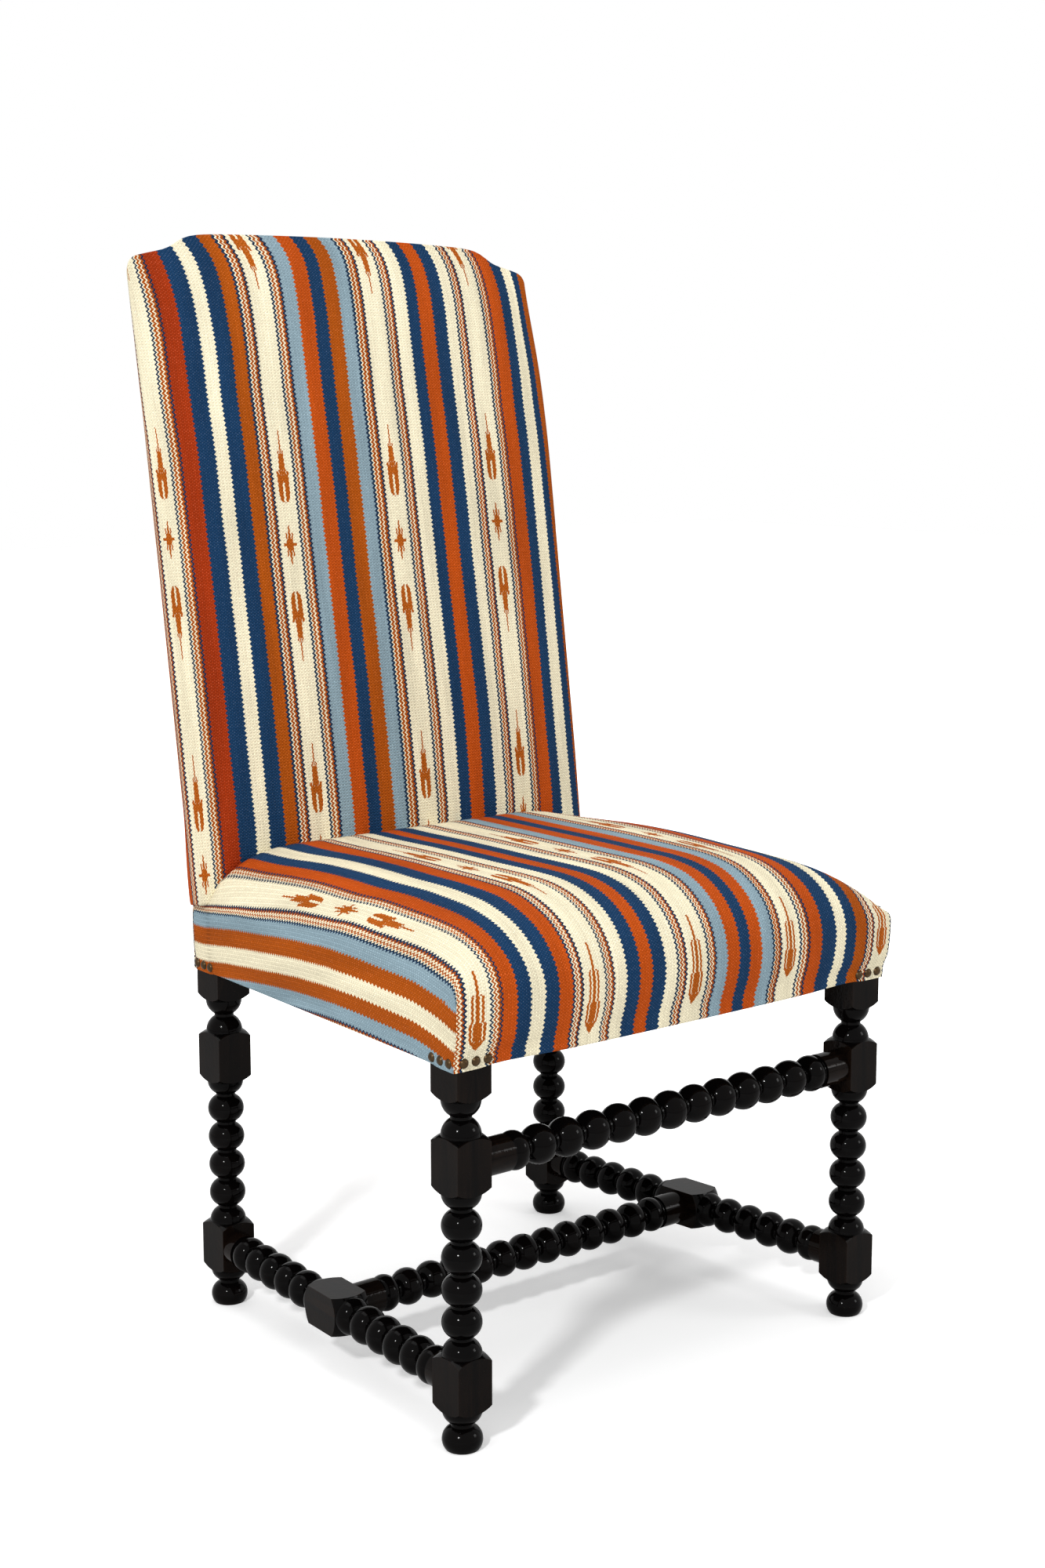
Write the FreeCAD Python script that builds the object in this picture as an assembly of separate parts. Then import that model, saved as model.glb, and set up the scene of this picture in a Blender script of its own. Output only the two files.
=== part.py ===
import FreeCAD, Part
import math
import os

# High-backed upholstered side chair on bobbin-turned legs, in millimetres, +Z up.
# The front faces -Y. Left is -X and right is +X, as seen by someone who faces the chair.
# Until the last step the floor is z = 0, and y = 0 is the line through the front legs' axes.

Vector = FreeCAD.Vector
UP = Vector(0, 0, 1)
SIDES = {"left": -1, "right": 1}

# Plan of the legs
front_leg_spacing = 500.0
rear_leg_spacing = 436.0
leg_line_depth = 431.0
leg_square = 38.0

# Turned legs, all heights from the floor
bead_radius = 18.4
neck_radius = 9.8
neck_length = 2.6
foot_sole_radius = 15.5
foot_radius = 18.6
foot_belly_height = 10.0
foot_neck_radius = 10.5
foot_neck_bottom = 21.5
foot_neck_top = 24.5
block_length = 52.6
block_shoulder = 5.4
lower_block_bottom = 35.8
leg_bead_count = 4
leg_bead_pitch = 29.8
leg_ring_run = 33.0
top_block_show = 33.0

# Stretchers
tenon_radius = 8.0
tenon_length = 20.0
tenon_clearance = 0.2
sleeve_radius = 17.2
sleeve_groove_radius = 15.6
sleeve_groove_length = 2.4
ring_radius = 18.0
ring_length = 19.0
front_sleeve_length = 30.1
medial_sleeve_length = 28.4
side_sleeve_length = 15.8
long_stretcher_bead_count = 11
side_stretcher_bead_count = 4
side_block_length = 57.0
side_block_shoulder = 7.0

# Seat frame
rail_height = 70.0
rail_thickness = 22.0
rail_tenon_length = 18.0
rail_tenon_thickness = 10.0
rail_tenon_shoulder = 12.0
joint_clearance = 0.2
corner_block_reach = 45.0
corner_block_drop = 14.0
corner_block_height = 40.0
screw_shank_radius = 2.2
screw_head_radius = 4.2
screw_head_height = 2.8
screw_length = 40.0
screw_edge_distance = 11.0
screw_clearance = 0.15

# Seat deck and seat upholstery
webbing_width = 50.0
webbing_thickness = 2.0
webbing_edge = 6.0
seat_lengthwise_count = 5
seat_crosswise_count = 4
hessian_thickness = 0.8
cover_thickness = 1.6
cover_gap = 0.4
hem_height = 12.0
hem_turn_in = 16.0
seat_widest_rise = 60.0
seat_crown_rise = 55.0
seat_corner_radius = 4.0
seat_side_bulge = 2.0
seat_front_bulge = 7.0
seat_side_bow = 4.0
seat_front_bow = 11.0
seat_side_roll = 150.0
seat_front_roll = 300.0
seat_side_fullness = 2.5
seat_front_fullness = 2.3
wadding_gap = 0.3
wadding_lift = 6.0
dust_cover_thickness = 1.0
dust_cover_inset = 7.0

# Back frame, raked from the top of the seat rails
back_rake_degrees = 8.2
post_thickness = 24.0
post_width = 32.0
post_overlap = 15.0
post_flare_start = 10.0
post_flare_end = 110.0
crest_rail_height = 96.0
post_tenon_length = 30.0
post_tenon_width = 18.0
post_tenon_thickness = 11.0
lower_rail_bottom = 62.0
lower_rail_height = 50.0
lower_rail_thickness = 20.0
lower_rail_tenon_length = 14.0
back_upright_count = 4
back_crosswise_count = 5

# Back upholstery, heights along the rake from the top of the seat rails
back_bottom = -6.0
back_bottom_half_width = 250.5
back_low_half_width = 257.5
back_half_width = 259.5
back_corner_radius = 14.0
back_shoulder_height = 644.8
back_shoulder_rise = 6.5
back_notch_half_width = 217.0
back_step_half_width = 206.0
back_step_rise = 5.7
back_arch_half_width = 150.0
back_arch_height = 671.6
back_arch_sag = 2.6
back_edge_padding = 20.0
back_side_taper = 13.0
back_top_taper = 7.0
back_rear_depth = 14.0
back_widest_depth = -18.0
back_crown = 19.0
back_side_roll = 205.0
back_top_roll = 205.0
back_fullness = 1.9

# Dome nails over the hem
nail_head_radius = 4.7
nail_head_height = 3.0
nail_shank_radius = 0.9
nail_length = 14.0
nail_clearance = 0.1
nail_rise = 6.6
nail_pitch = 13.2
nails_per_face = 3

# Levels of the rounded forms, as angles along a quarter turn
lower_side_degrees = (25, 50, 90)
crown_degrees = (12, 24, 36, 48, 60, 72, 90)

# Derived sizes
half = 0.5
lower_block_top = lower_block_bottom + block_length
upper_block_bottom = lower_block_top + leg_bead_pitch * (leg_bead_count + 1)
upper_block_top = upper_block_bottom + block_length
top_block_bottom = upper_block_top + leg_ring_run
rail_bottom = top_block_bottom + top_block_show
front_leg_x = front_leg_spacing * half
rear_leg_x = rear_leg_spacing * half
leg_half = leg_square * half
corner_radius = leg_half * math.sqrt(2)
rail_top = rail_bottom + rail_height
hem_bottom = rail_bottom - cover_thickness
nail_height = hem_bottom + nail_rise
seat_widest_height = hem_bottom + seat_widest_rise
seat_crown_height = rail_top + seat_crown_rise
deck_top = rail_top + webbing_thickness + webbing_thickness + hessian_thickness
hem_offset = cover_gap + cover_thickness
rear_face_y = leg_line_depth + leg_half
side_slope = (front_leg_x - rear_leg_x) / leg_line_depth
side_angle = math.degrees(math.atan(side_slope))
front_stretcher_height = upper_block_bottom + block_length * half
side_stretcher_height = lower_block_bottom + block_length * half
post_half = post_thickness * half
post_outer_x = back_low_half_width - back_edge_padding
post_top = back_shoulder_height + back_shoulder_rise - back_edge_padding - crest_rail_height * half
overrun = leg_square


def box_between(low, high):
    size = high - low
    return Part.makeBox(size.x, size.y, size.z, low)


def prism(points, bottom, top):
    # Upright prism on a plan polygon of (x, y) corners.
    corners = [Vector(x, y, bottom) for x, y in points]
    face = Part.Face(Part.makePolygon(corners + corners[:1]))
    return face.extrude(UP * (top - bottom))


def side_x(y):
    # Distance from the middle to the axis line of a front and a rear leg.
    return front_leg_x - side_slope * y


def outer_x(y, offset=0.0):
    # The line that runs past the outer corners of a side's two legs, moved out by an offset.
    return side_x(y - leg_half) + leg_half + offset


def rail_x(y):
    # The outer face of a side rail, flush with both legs where it meets them.
    run = (y - leg_half) / (leg_line_depth - leg_square)
    return front_leg_x + leg_half - (front_leg_x - rear_leg_x) * run


def roll_inset(level, reach, fullness):
    # How far a rounded form has drawn in at a level between 0 (its widest) and 1 (its crown).
    return reach * (1 - (1 - level ** fullness) ** (1 / fullness))


def turned(start, steps):
    # Solid of revolution about Z. A step is (z, r) for a line or (z, r, z, r) for an arc.
    points = [Vector(0, 0, start[0]), Vector(start[1], 0, start[0])]
    edges = [Part.LineSegment(points[0], points[1]).toShape()]
    here = points[1]
    for step in steps:
        there = Vector(step[-1], 0, step[-2])
        if len(step) == 4:
            edges.append(Part.Arc(here, Vector(step[1], 0, step[0]), there).toShape())
        else:
            edges.append(Part.LineSegment(here, there).toShape())
        here = there
    axis_end = Vector(0, 0, here.z)
    edges.append(Part.LineSegment(here, axis_end).toShape())
    edges.append(Part.LineSegment(axis_end, points[0]).toShape())
    face = Part.Face(Part.Wire(edges))
    return face.revolve(Vector(0, 0, 0), UP, 360)


def bead_steps(start, end, count):
    # Whole beads between two half beads, with short necks. It starts and ends on a bead's crest.
    pitch = (end - start) / (count + 1)
    reach = pitch * half - neck_length * half
    swell = bead_radius - neck_radius
    arc_radius = (reach * reach + swell * swell) / (swell + swell)
    half_turn = math.asin(reach / arc_radius) * half
    mid_reach = arc_radius * math.sin(half_turn)
    mid_radius = bead_radius - arc_radius * (1 - math.cos(half_turn))
    steps = [(start + mid_reach, mid_radius, start + reach, neck_radius)]
    for index in range(1, count + 1):
        centre = start + pitch * index
        steps.append((centre - reach, neck_radius))
        steps.append((centre, bead_radius, centre + reach, neck_radius))
    steps.append((end - reach, neck_radius))
    steps.append((end - mid_reach, mid_radius, end, bead_radius))
    return steps


def shoulder_arc(z_ring, z_corner):
    # Convex shoulder from the bead's crest out to the block's corners.
    mid_z = z_corner + (z_ring - z_corner) * math.sqrt(half) * half
    mid_r = bead_radius + (corner_radius - bead_radius) * math.sqrt(half)
    return mid_z, mid_r


def square_block(bottom, length, shoulder, top_shoulder=True):
    # A square block whose corners are rounded off by the lathe at its ends.
    top = bottom + length
    out = corner_radius + neck_length
    low_mid = shoulder_arc(bottom, bottom + shoulder)
    steps = [(low_mid[0], low_mid[1], bottom + shoulder, corner_radius)]
    steps.append((bottom + shoulder, out))
    if top_shoulder:
        high_mid = shoulder_arc(top, top - shoulder)
        steps.append((top - shoulder, out))
        steps.append((top - shoulder, corner_radius))
        steps.append((high_mid[0], high_mid[1], top, bead_radius))
    else:
        steps.append((top, out))
    envelope = turned((bottom, bead_radius), steps)
    low = Vector(-leg_half, -leg_half, bottom)
    return envelope.common(box_between(low, Vector(leg_half, leg_half, top)))


def turned_leg(top):
    # Foot, lower block, beads, upper block, a double ring and the top block.
    swell = bead_radius - foot_neck_radius
    foot = turned((0, foot_sole_radius), [
        (foot_belly_height, foot_radius, foot_neck_bottom, foot_neck_radius),
        (foot_neck_top, foot_neck_radius),
        (foot_neck_top + (lower_block_bottom - foot_neck_top) * half,
         foot_neck_radius + swell * math.sqrt(half) + neck_length * half * half,
         lower_block_bottom, bead_radius)])
    beads = turned((lower_block_top, bead_radius),
                   bead_steps(lower_block_top, upper_block_bottom, leg_bead_count))
    rings = turned((upper_block_top, bead_radius), bead_steps(upper_block_top, top_block_bottom, 0))
    blocks = [square_block(lower_block_bottom, block_length, block_shoulder),
              square_block(upper_block_bottom, block_length, block_shoulder),
              square_block(top_block_bottom, top - top_block_bottom, block_shoulder, False)]
    return foot.multiFuse([beads, rings] + blocks).removeSplitter()


def along(shape, start, direction):
    # Moves a shape built along +Z so that it runs from a point in a direction.
    shape = shape.copy()
    shape.Placement = FreeCAD.Placement(start, FreeCAD.Rotation(UP, direction))
    return shape


def round_tenon(start, direction, length, radius):
    return along(Part.makeCylinder(radius, length), start, direction)


def bead_bar(start, end, last, sleeve_length, count):
    # From the crest of a bead at the start: whole beads, a ring, a groove and a plain sleeve.
    # The sleeve's length is counted to the end, and the bar runs on to the last height.
    neck_end = end - sleeve_length - sleeve_groove_length - ring_length
    pitch = (neck_end - neck_length * half - start) / (count + half)
    steps = bead_steps(start, start + pitch * (count + 1), count)[:-1]
    ring_end = neck_end + ring_length
    groove_end = ring_end + sleeve_groove_length
    steps[-1] = (neck_end, neck_radius)
    steps += [((neck_end + ring_end) * half, ring_radius, ring_end, sleeve_groove_radius),
              (groove_end, sleeve_groove_radius),
              (groove_end, sleeve_radius),
              (last, sleeve_radius)]
    return turned((start, bead_radius), steps)


def long_stretcher(half_span, half_length, sleeve_length):
    # A bar of beads along Z, centred on zero, mirrored about its middle.
    upper = bead_bar(0, half_span, half_length, sleeve_length, (long_stretcher_bead_count - 1) // 2)
    lower = upper.mirror(Vector(0, 0, 0), UP)
    return upper.fuse(lower).removeSplitter()


def make_front_stretcher():
    reach = front_leg_x - leg_half
    bar = long_stretcher(reach, reach, front_sleeve_length)
    start = Vector(0, 0, front_stretcher_height)
    bar = along(bar, start, Vector(1, 0, 0))
    tenons = [round_tenon(start + Vector(s * reach, 0, 0), Vector(s, 0, 0), tenon_length, tenon_radius)
              for s in SIDES.values()]
    return bar.multiFuse(tenons)


def stretcher_frame(side):
    # Middle point and direction of a side stretcher, which follows the line of the legs.
    middle = Vector(side * side_x(leg_line_depth * half), leg_line_depth * half, side_stretcher_height)
    direction = Vector(-side * side_slope, 1, 0)
    direction.normalize()
    return middle, direction


def make_side_stretcher(side):
    middle, direction = stretcher_frame(side)
    full = leg_line_depth * half / direction.y
    span = full - leg_half / direction.y
    bar = bead_bar(side_block_length * half, span, full, side_sleeve_length, side_stretcher_bead_count)
    other = bar.mirror(Vector(0, 0, 0), UP)
    block = square_block(-side_block_length * half, side_block_length, side_block_shoulder)
    bar = along(bar.multiFuse([other, block]), middle, direction)
    turn = FreeCAD.Rotation(UP, direction).multVec(Vector(1, 0, 0))
    roll = math.degrees(math.atan2(turn.z, math.hypot(turn.x, turn.y)))
    bar.rotate(middle, direction, roll)
    low = Vector(-front_leg_spacing, leg_half, 0)
    high = Vector(front_leg_spacing, leg_line_depth - leg_half, upper_block_bottom)
    bar = bar.common(box_between(low, high))
    reach = full - (leg_half - tenon_length) / direction.y
    tenon = round_tenon(middle - direction * reach, direction, reach + reach, tenon_radius)
    bar = bar.fuse(tenon)
    mortise = medial_tenons(tenon_clearance)
    return bar.cut(mortise)


def medial_reach():
    middle, direction = stretcher_frame(1)
    return middle.x - leg_half / direction.y


def medial_tenons(clearance=0.0):
    reach = medial_reach() + tenon_length * half + clearance
    start = Vector(-reach, leg_line_depth * half, side_stretcher_height)
    return round_tenon(start, Vector(1, 0, 0), reach + reach, tenon_radius + clearance)


def make_medial_stretcher():
    reach = medial_reach() + leg_half * side_slope
    bar = long_stretcher(medial_reach(), reach, medial_sleeve_length)
    bar = along(bar, Vector(0, leg_line_depth * half, side_stretcher_height), Vector(1, 0, 0))
    for side in SIDES.values():
        middle, direction = stretcher_frame(side)
        block = Part.makeBox(leg_square, side_block_length, leg_square,
                             Vector(-leg_half, -side_block_length * half, -leg_half))
        block.Placement = FreeCAD.Placement(middle, FreeCAD.Rotation(Vector(0, 1, 0), direction))
        bar = bar.cut(block)
    return bar.fuse(medial_tenons())


def stretcher_mortises(leg_x, leg_y, front):
    # Blind bores for the side stretcher and, in a front leg, for the front stretcher.
    side = 1 if leg_x > 0 else -1
    bore_radius = tenon_radius + tenon_clearance
    bore_length = tenon_length + tenon_clearance
    middle, direction = stretcher_frame(side)
    inward = 1 if front else -1
    face = Vector(side * side_x(leg_y + inward * leg_half), leg_y + inward * leg_half, side_stretcher_height)
    away = direction * -inward
    bore = round_tenon(face - away * leg_half, away, bore_length / direction.y + leg_half, bore_radius)
    bores = [bore]
    if front:
        start = Vector(leg_x - side * (leg_half + leg_half), leg_y, front_stretcher_height)
        bores.append(round_tenon(start, Vector(side, 0, 0), bore_length + leg_half, bore_radius))
    return bores


def cross_rail(leg_x, outer_y, inward, grow=0.0):
    # Front or rear seat rail with its tenons; grow widens only the tenons.
    inner_x = leg_x - leg_half
    rail = box_between(Vector(-inner_x, min(outer_y, outer_y + inward * rail_thickness), rail_bottom),
                       Vector(inner_x, max(outer_y, outer_y + inward * rail_thickness), rail_top))
    mid_y = outer_y + inward * rail_thickness * half
    reach = inner_x + rail_tenon_length + grow
    thick = rail_tenon_thickness * half + grow
    tenon = box_between(Vector(-reach, mid_y - thick, rail_bottom + rail_tenon_shoulder - grow),
                        Vector(reach, mid_y + thick, rail_top - rail_tenon_shoulder + grow))
    return rail, tenon


def side_rail(side, grow=0.0):
    # A side seat rail flush with the outer corners of its legs, with its tenons.
    start_y = leg_half
    end_y = leg_line_depth - leg_half
    tenon_inset = (rail_thickness - rail_tenon_thickness) * half

    def plan(y0, y1, inset, thickness):
        return [(side * (rail_x(y0) - inset), y0),
                (side * (rail_x(y1) - inset), y1),
                (side * (rail_x(y1) - inset - thickness), y1),
                (side * (rail_x(y0) - inset - thickness), y0)]

    rail = prism(plan(start_y, end_y, 0, rail_thickness), rail_bottom, rail_top)
    tenon_plan = plan(start_y - rail_tenon_length - grow, end_y + rail_tenon_length + grow,
                      tenon_inset - grow, rail_tenon_thickness + grow + grow)
    tenon = prism(tenon_plan, rail_bottom + rail_tenon_shoulder - grow,
                  rail_top - rail_tenon_shoulder + grow)
    return rail, tenon


def with_tenon(rail_and_tenon):
    rail, tenon = rail_and_tenon
    return rail.fuse(tenon).removeSplitter()


def rail_mortises():
    # Mortises of all four rails, to be cut from the legs.
    cutters = []
    for rail, tenon in (cross_rail(front_leg_x, -leg_half, 1, joint_clearance),
                        cross_rail(rear_leg_x, rear_face_y, -1, joint_clearance),
                        side_rail(-1, joint_clearance), side_rail(1, joint_clearance)):
        cutters.append(tenon)
    return cutters


def corner_block(side, front):
    # Glue block in a corner of the seat frame, notched round the leg, with its screws' bores.
    leg_x = front_leg_x if front else rear_leg_x
    inward = 1 if front else -1
    leg_y = 0 if front else leg_line_depth
    rail_y = leg_y - inward * (leg_half - rail_thickness)
    face_y = leg_y + inward * leg_half
    far_y = face_y + inward * corner_block_reach
    far_x = rail_x(far_y) - rail_thickness
    points = [(side * (leg_x - leg_half - corner_block_reach), rail_y), (side * (leg_x - leg_half), rail_y),
              (side * (leg_x - leg_half), face_y),
              (side * (rail_x(face_y) - rail_thickness), face_y), (side * far_x, far_y)]
    top = rail_top - corner_block_drop
    block = prism(points, top - corner_block_height, top)
    return block, Vector(points[0][0], points[0][1], 0), Vector(points[4][0], points[4][1], 0)


def block_screws(side, front, clearance=0.0):
    # Two screws square to the block's long face, driven into the leg.
    block, first, last = corner_block(side, front)
    middle = (first + last) * half
    run = last - first
    outward = Vector(-run.y, run.x, 0)
    outward.normalize()
    leg = Vector(side * (front_leg_x if front else rear_leg_x), 0 if front else leg_line_depth, 0)
    if (leg - middle).dot(outward) < 0:
        outward = outward * -1
    centre_z = rail_top - corner_block_drop - corner_block_height * half
    spread = corner_block_height * half - screw_edge_distance
    screws = []
    for level in (-1, 1):
        start = middle + UP * (centre_z + level * spread)
        shank = round_tenon(start, outward, screw_length + clearance, screw_shank_radius + clearance)
        if clearance:
            screws.append(shank)
            continue
        head = Part.makeCone(screw_head_radius * half, screw_head_radius, screw_head_height)
        head = along(head, start - outward * screw_head_height, outward)
        screws.append(head.fuse(shank))
    return screws


def to_back(shape):
    # From the back's own frame (x, depth rearwards, height along the rake) into place.
    rake = math.radians(back_rake_degrees)
    origin = Vector(0, rear_face_y - post_half * math.cos(rake), rail_top + post_half * math.sin(rake))
    shape = shape.copy()
    turn = FreeCAD.Rotation(Vector(1, 0, 0), -back_rake_degrees)
    shape.Placement = FreeCAD.Placement(origin, turn).multiply(shape.Placement)
    return shape


def back_slab(depth_low, depth_high, bottom, top, half_width=back_half_width):
    low = Vector(-half_width, depth_low, bottom)
    return to_back(box_between(low, Vector(half_width, depth_high, top)))


def back_outline(depth, side_inset, top_inset, bottom=back_bottom):
    # Closed wire of the back's outline at a depth. It narrows and lowers by the two insets.
    scale = (back_half_width - side_inset) / back_half_width
    soft = math.sqrt(half)

    def point(x, height):
        low = height <= back_bottom
        return Vector(x * scale, depth, bottom if low else height - top_inset)

    shoulder = back_shoulder_height
    notch = shoulder + back_shoulder_rise
    step = notch + back_step_rise
    corner_x = back_half_width - back_corner_radius
    flare = post_flare_end
    arch_rise = back_arch_height - back_arch_sag - step
    arch_run = back_step_half_width - back_arch_half_width
    step_run = back_notch_half_width - back_step_half_width
    right = [
        ("line", point(back_bottom_half_width, back_bottom)),
        ("line", Vector(back_low_half_width * scale, depth, flare)),
        ("line", point(back_half_width, shoulder - back_corner_radius)),
        ("arc", point(corner_x + back_corner_radius * soft, shoulder - back_corner_radius * (1 - soft)),
         point(corner_x, shoulder)),
        ("line", point(back_notch_half_width, notch)),
        ("arc", point(back_notch_half_width - step_run * soft, notch + back_step_rise * (1 - soft)),
         point(back_step_half_width, step)),
        ("arc", point(back_arch_half_width + arch_run * soft, step + arch_rise * soft),
         point(back_arch_half_width, step + arch_rise)),
        ("arc", point(back_arch_half_width * half, back_arch_height - back_arch_sag * half * half),
         point(0, back_arch_height))]
    edges = []
    here = Vector(0, depth, bottom)
    for kind, *points in right:
        if kind == "arc":
            edges.append(Part.Arc(here, points[0], points[1]).toShape())
        else:
            edges.append(Part.LineSegment(here, points[0]).toShape())
        here = points[-1]
    mirrored = [edge.mirror(Vector(0, 0, 0), Vector(1, 0, 0)) for edge in reversed(edges)]
    return Part.Wire(Part.__sortEdges__(edges + mirrored))


def back_body(shrink=0.0, bottom=back_bottom):
    # The whole upholstered back: a tapered edge behind and a crowned face in front.
    sections = [(back_rear_depth - shrink, back_side_taper + shrink, back_top_taper + shrink),
                (0, back_side_taper * half + shrink, back_top_taper * half + shrink),
                (back_widest_depth + shrink * half, shrink, shrink)]
    for degrees in crown_degrees:
        level = math.sin(math.radians(degrees))
        sections.append((back_widest_depth + shrink - back_crown * level,
                         roll_inset(level, back_side_roll, back_fullness) + shrink,
                         roll_inset(level, back_top_roll, back_fullness) + shrink))
    wires = [back_outline(depth, side_inset, top_inset, bottom) for depth, side_inset, top_inset in sections]
    return to_back(Part.makeLoft(wires, True, True))


def outline_prism(depth_low, depth_high, side_inset, top_inset):
    # The back's outline, drawn in, as a prism between two depths.
    wire = back_outline(depth_low, side_inset, top_inset)
    return to_back(Part.Face(wire).extrude(Vector(0, depth_high - depth_low, 0)))


def seat_plan(height, grow_front, grow_side, bow_front, bow_side, shrink=0.0):
    # Plan outline of the seat, a trapezoid with bowed front and sides and small corners.
    # It runs on behind the legs, where the seat is cut off square.
    grow_front -= shrink
    grow_side -= shrink
    front_y = -leg_half - hem_offset - grow_front
    rear_y = rear_face_y + leg_half
    front_x = outer_x(front_y, hem_offset) + grow_side
    rear_x = outer_x(rear_y, hem_offset) + grow_side
    radius = max(seat_corner_radius - shrink, seat_corner_radius * half)
    soft = radius * (1 - math.sqrt(half))
    tilt = Vector(rear_x - front_x, rear_y - front_y, 0)
    tilt.normalize()

    def spot(x, y):
        return Vector(x, y, height)

    def link(start, middle, end, bow):
        if bow <= 0:
            return Part.LineSegment(start, end).toShape()
        return Part.Arc(start, middle, end).toShape()

    edges = []
    for side in (1, -1):
        front_start = spot(0, front_y - bow_front)
        chord = front_x - radius
        front_end = spot(side * chord, front_y)
        quarter_bow = bow_front * (1 - half * half)
        quarter_point = spot(side * chord * half, front_y - quarter_bow)
        edges.append(link(front_start, quarter_point, front_end, bow_front))
        side_start = spot(side * (front_x + tilt.x * radius), front_y + tilt.y * radius)
        side_end = spot(side * (rear_x - tilt.x * radius), rear_y - tilt.y * radius)
        middle = (side_start + side_end) * half + Vector(side * bow_side, 0, 0)
        corner = spot(side * (front_x - soft), front_y + soft)
        edges.append(Part.Arc(front_end, corner, side_start).toShape())
        edges.append(link(side_start, middle, side_end, bow_side))
        rear_start = spot(side * (rear_x - radius), rear_y)
        edges.append(Part.Arc(side_end, spot(side * (rear_x - soft), rear_y - soft), rear_start).toShape())
        edges.append(Part.LineSegment(rear_start, spot(0, rear_y)).toShape())
    return Part.Wire(Part.__sortEdges__(edges))


def seat_body(shrink=0.0):
    # The whole upholstered seat: a straight hem, drawn-in lower sides, and a crown that rolls over.
    hem_top = hem_bottom + hem_height
    top = seat_crown_height - shrink
    wires = [seat_plan(hem_bottom, 0, 0, 0, 0, shrink), seat_plan(hem_top, 0, 0, 0, 0, shrink)]
    for degrees in lower_side_degrees:
        swell = math.sin(math.radians(degrees))
        rise = 1 - math.cos(math.radians(degrees))
        wires.append(seat_plan(hem_top + (seat_widest_height - hem_top) * rise,
                               seat_front_bulge * swell, seat_side_bulge * swell,
                               seat_front_bow * swell, seat_side_bow * swell, shrink))
    for degrees in crown_degrees:
        level = math.sin(math.radians(degrees))
        bow_share = math.cos(math.radians(degrees) * half)
        wires.append(seat_plan(seat_widest_height + (top - seat_widest_height) * level,
                               seat_front_bulge - roll_inset(level, seat_front_roll, seat_front_fullness),
                               seat_side_bulge - roll_inset(level, seat_side_roll, seat_side_fullness),
                               seat_front_bow * bow_share, seat_side_bow * bow_share, shrink))
    return Part.makeLoft(wires, True, True)


def frame_plan(offset, height_low, height_high):
    # Prism of the seat frame's outer plan: the leg squares and the rails between them.
    points = []
    for side in (1, -1):
        half_points = [(side * (front_leg_x + leg_half + offset), -leg_half - offset),
                       (side * (front_leg_x + leg_half + offset), leg_half),
                       (side * (rear_leg_x + leg_half + offset), leg_line_depth - leg_half),
                       (side * (rear_leg_x + leg_half + offset), rear_face_y + offset)]
        points += half_points if side > 0 else half_points[::-1]
    return prism(points, height_low, height_high)


def leg_columns(clearance, bottom, top):
    # Square columns round the four legs.
    reach = leg_half + clearance
    columns = []
    for leg_x, leg_y in ((front_leg_x, 0), (rear_leg_x, leg_line_depth)):
        for side in (1, -1):
            columns.append(box_between(Vector(side * leg_x - reach, leg_y - reach, bottom),
                                       Vector(side * leg_x + reach, leg_y + reach, top)))
    return columns


def raked_post(side):
    # Sawn back post: raked in the side view and flared outwards in the front view.
    rake = math.radians(back_rake_degrees)
    rise = Vector(0, math.sin(rake), math.cos(rake))
    forward = Vector(0, -math.cos(rake), math.sin(rake))
    knee = Vector(0, rear_face_y, rail_top)
    top_rear = knee + rise * post_top
    top_front = top_rear + forward * post_thickness
    low_front = knee + forward * post_thickness - rise * post_overlap
    low_rear = Vector(0, rear_face_y, rail_top - post_overlap)
    width = Vector(front_leg_spacing, 0, 0)
    points = [low_rear, knee, top_rear, top_front, low_front, low_rear]
    side_view = Part.Face(Part.makePolygon([p - width * half for p in points])).extrude(width)
    outer = rear_leg_x + leg_half
    top_outer = back_half_width - back_edge_padding
    flare = [(outer, rail_top - post_overlap), (outer, rail_top + post_flare_start),
             (post_outer_x, rail_top + post_flare_end), (top_outer, rail_top + back_arch_height)]
    inner = [(x - post_width, z) for x, z in reversed(flare)]
    corners = [Vector(side * x, 0, z) for x, z in flare + inner]
    front_view = Part.Face(Part.makePolygon(corners + corners[:1]))
    front_view = front_view.extrude(Vector(0, rear_face_y + back_arch_height, 0))
    return side_view.common(front_view)


def post_tenon(side, clearance=0.0):
    # Tenon on top of a post, into the crest rail.
    centre = side * (back_half_width - back_edge_padding - post_width * half)
    wide = post_tenon_width * half + clearance
    thick = post_tenon_thickness * half + clearance
    low = Vector(centre - wide, -thick, post_top - post_tenon_length)
    high = Vector(centre + wide, thick, post_top + post_tenon_length + clearance)
    return to_back(box_between(low, high))


def lower_rail_tenons(clearance=0.0):
    reach = post_outer_x - post_width + lower_rail_tenon_length + clearance
    thick = lower_rail_thickness * half * half + clearance
    low = Vector(-reach, -thick, lower_rail_bottom + lower_rail_thickness * half - clearance)
    top = lower_rail_bottom + lower_rail_height - lower_rail_thickness * half
    return to_back(box_between(low, Vector(reach, thick, top + clearance)))


def make_lower_back_rail(posts):
    reach = post_outer_x - post_width * half
    thick = lower_rail_thickness * half
    low = Vector(-reach, -thick, lower_rail_bottom)
    rail = to_back(box_between(low, Vector(reach, thick, lower_rail_bottom + lower_rail_height)))
    for post in posts:
        rail = rail.cut(post)
    return rail.fuse(lower_rail_tenons())


def make_crest_rail():
    # A board sawn to the arch and shoulders of the back, on top of the posts.
    board = outline_prism(-post_half, post_half, back_edge_padding, back_edge_padding)
    board = board.cut(back_slab(-post_thickness, post_thickness, back_bottom - overrun, post_top))
    for side in SIDES.values():
        board = board.cut(post_tenon(side, joint_clearance))
    return board


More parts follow.
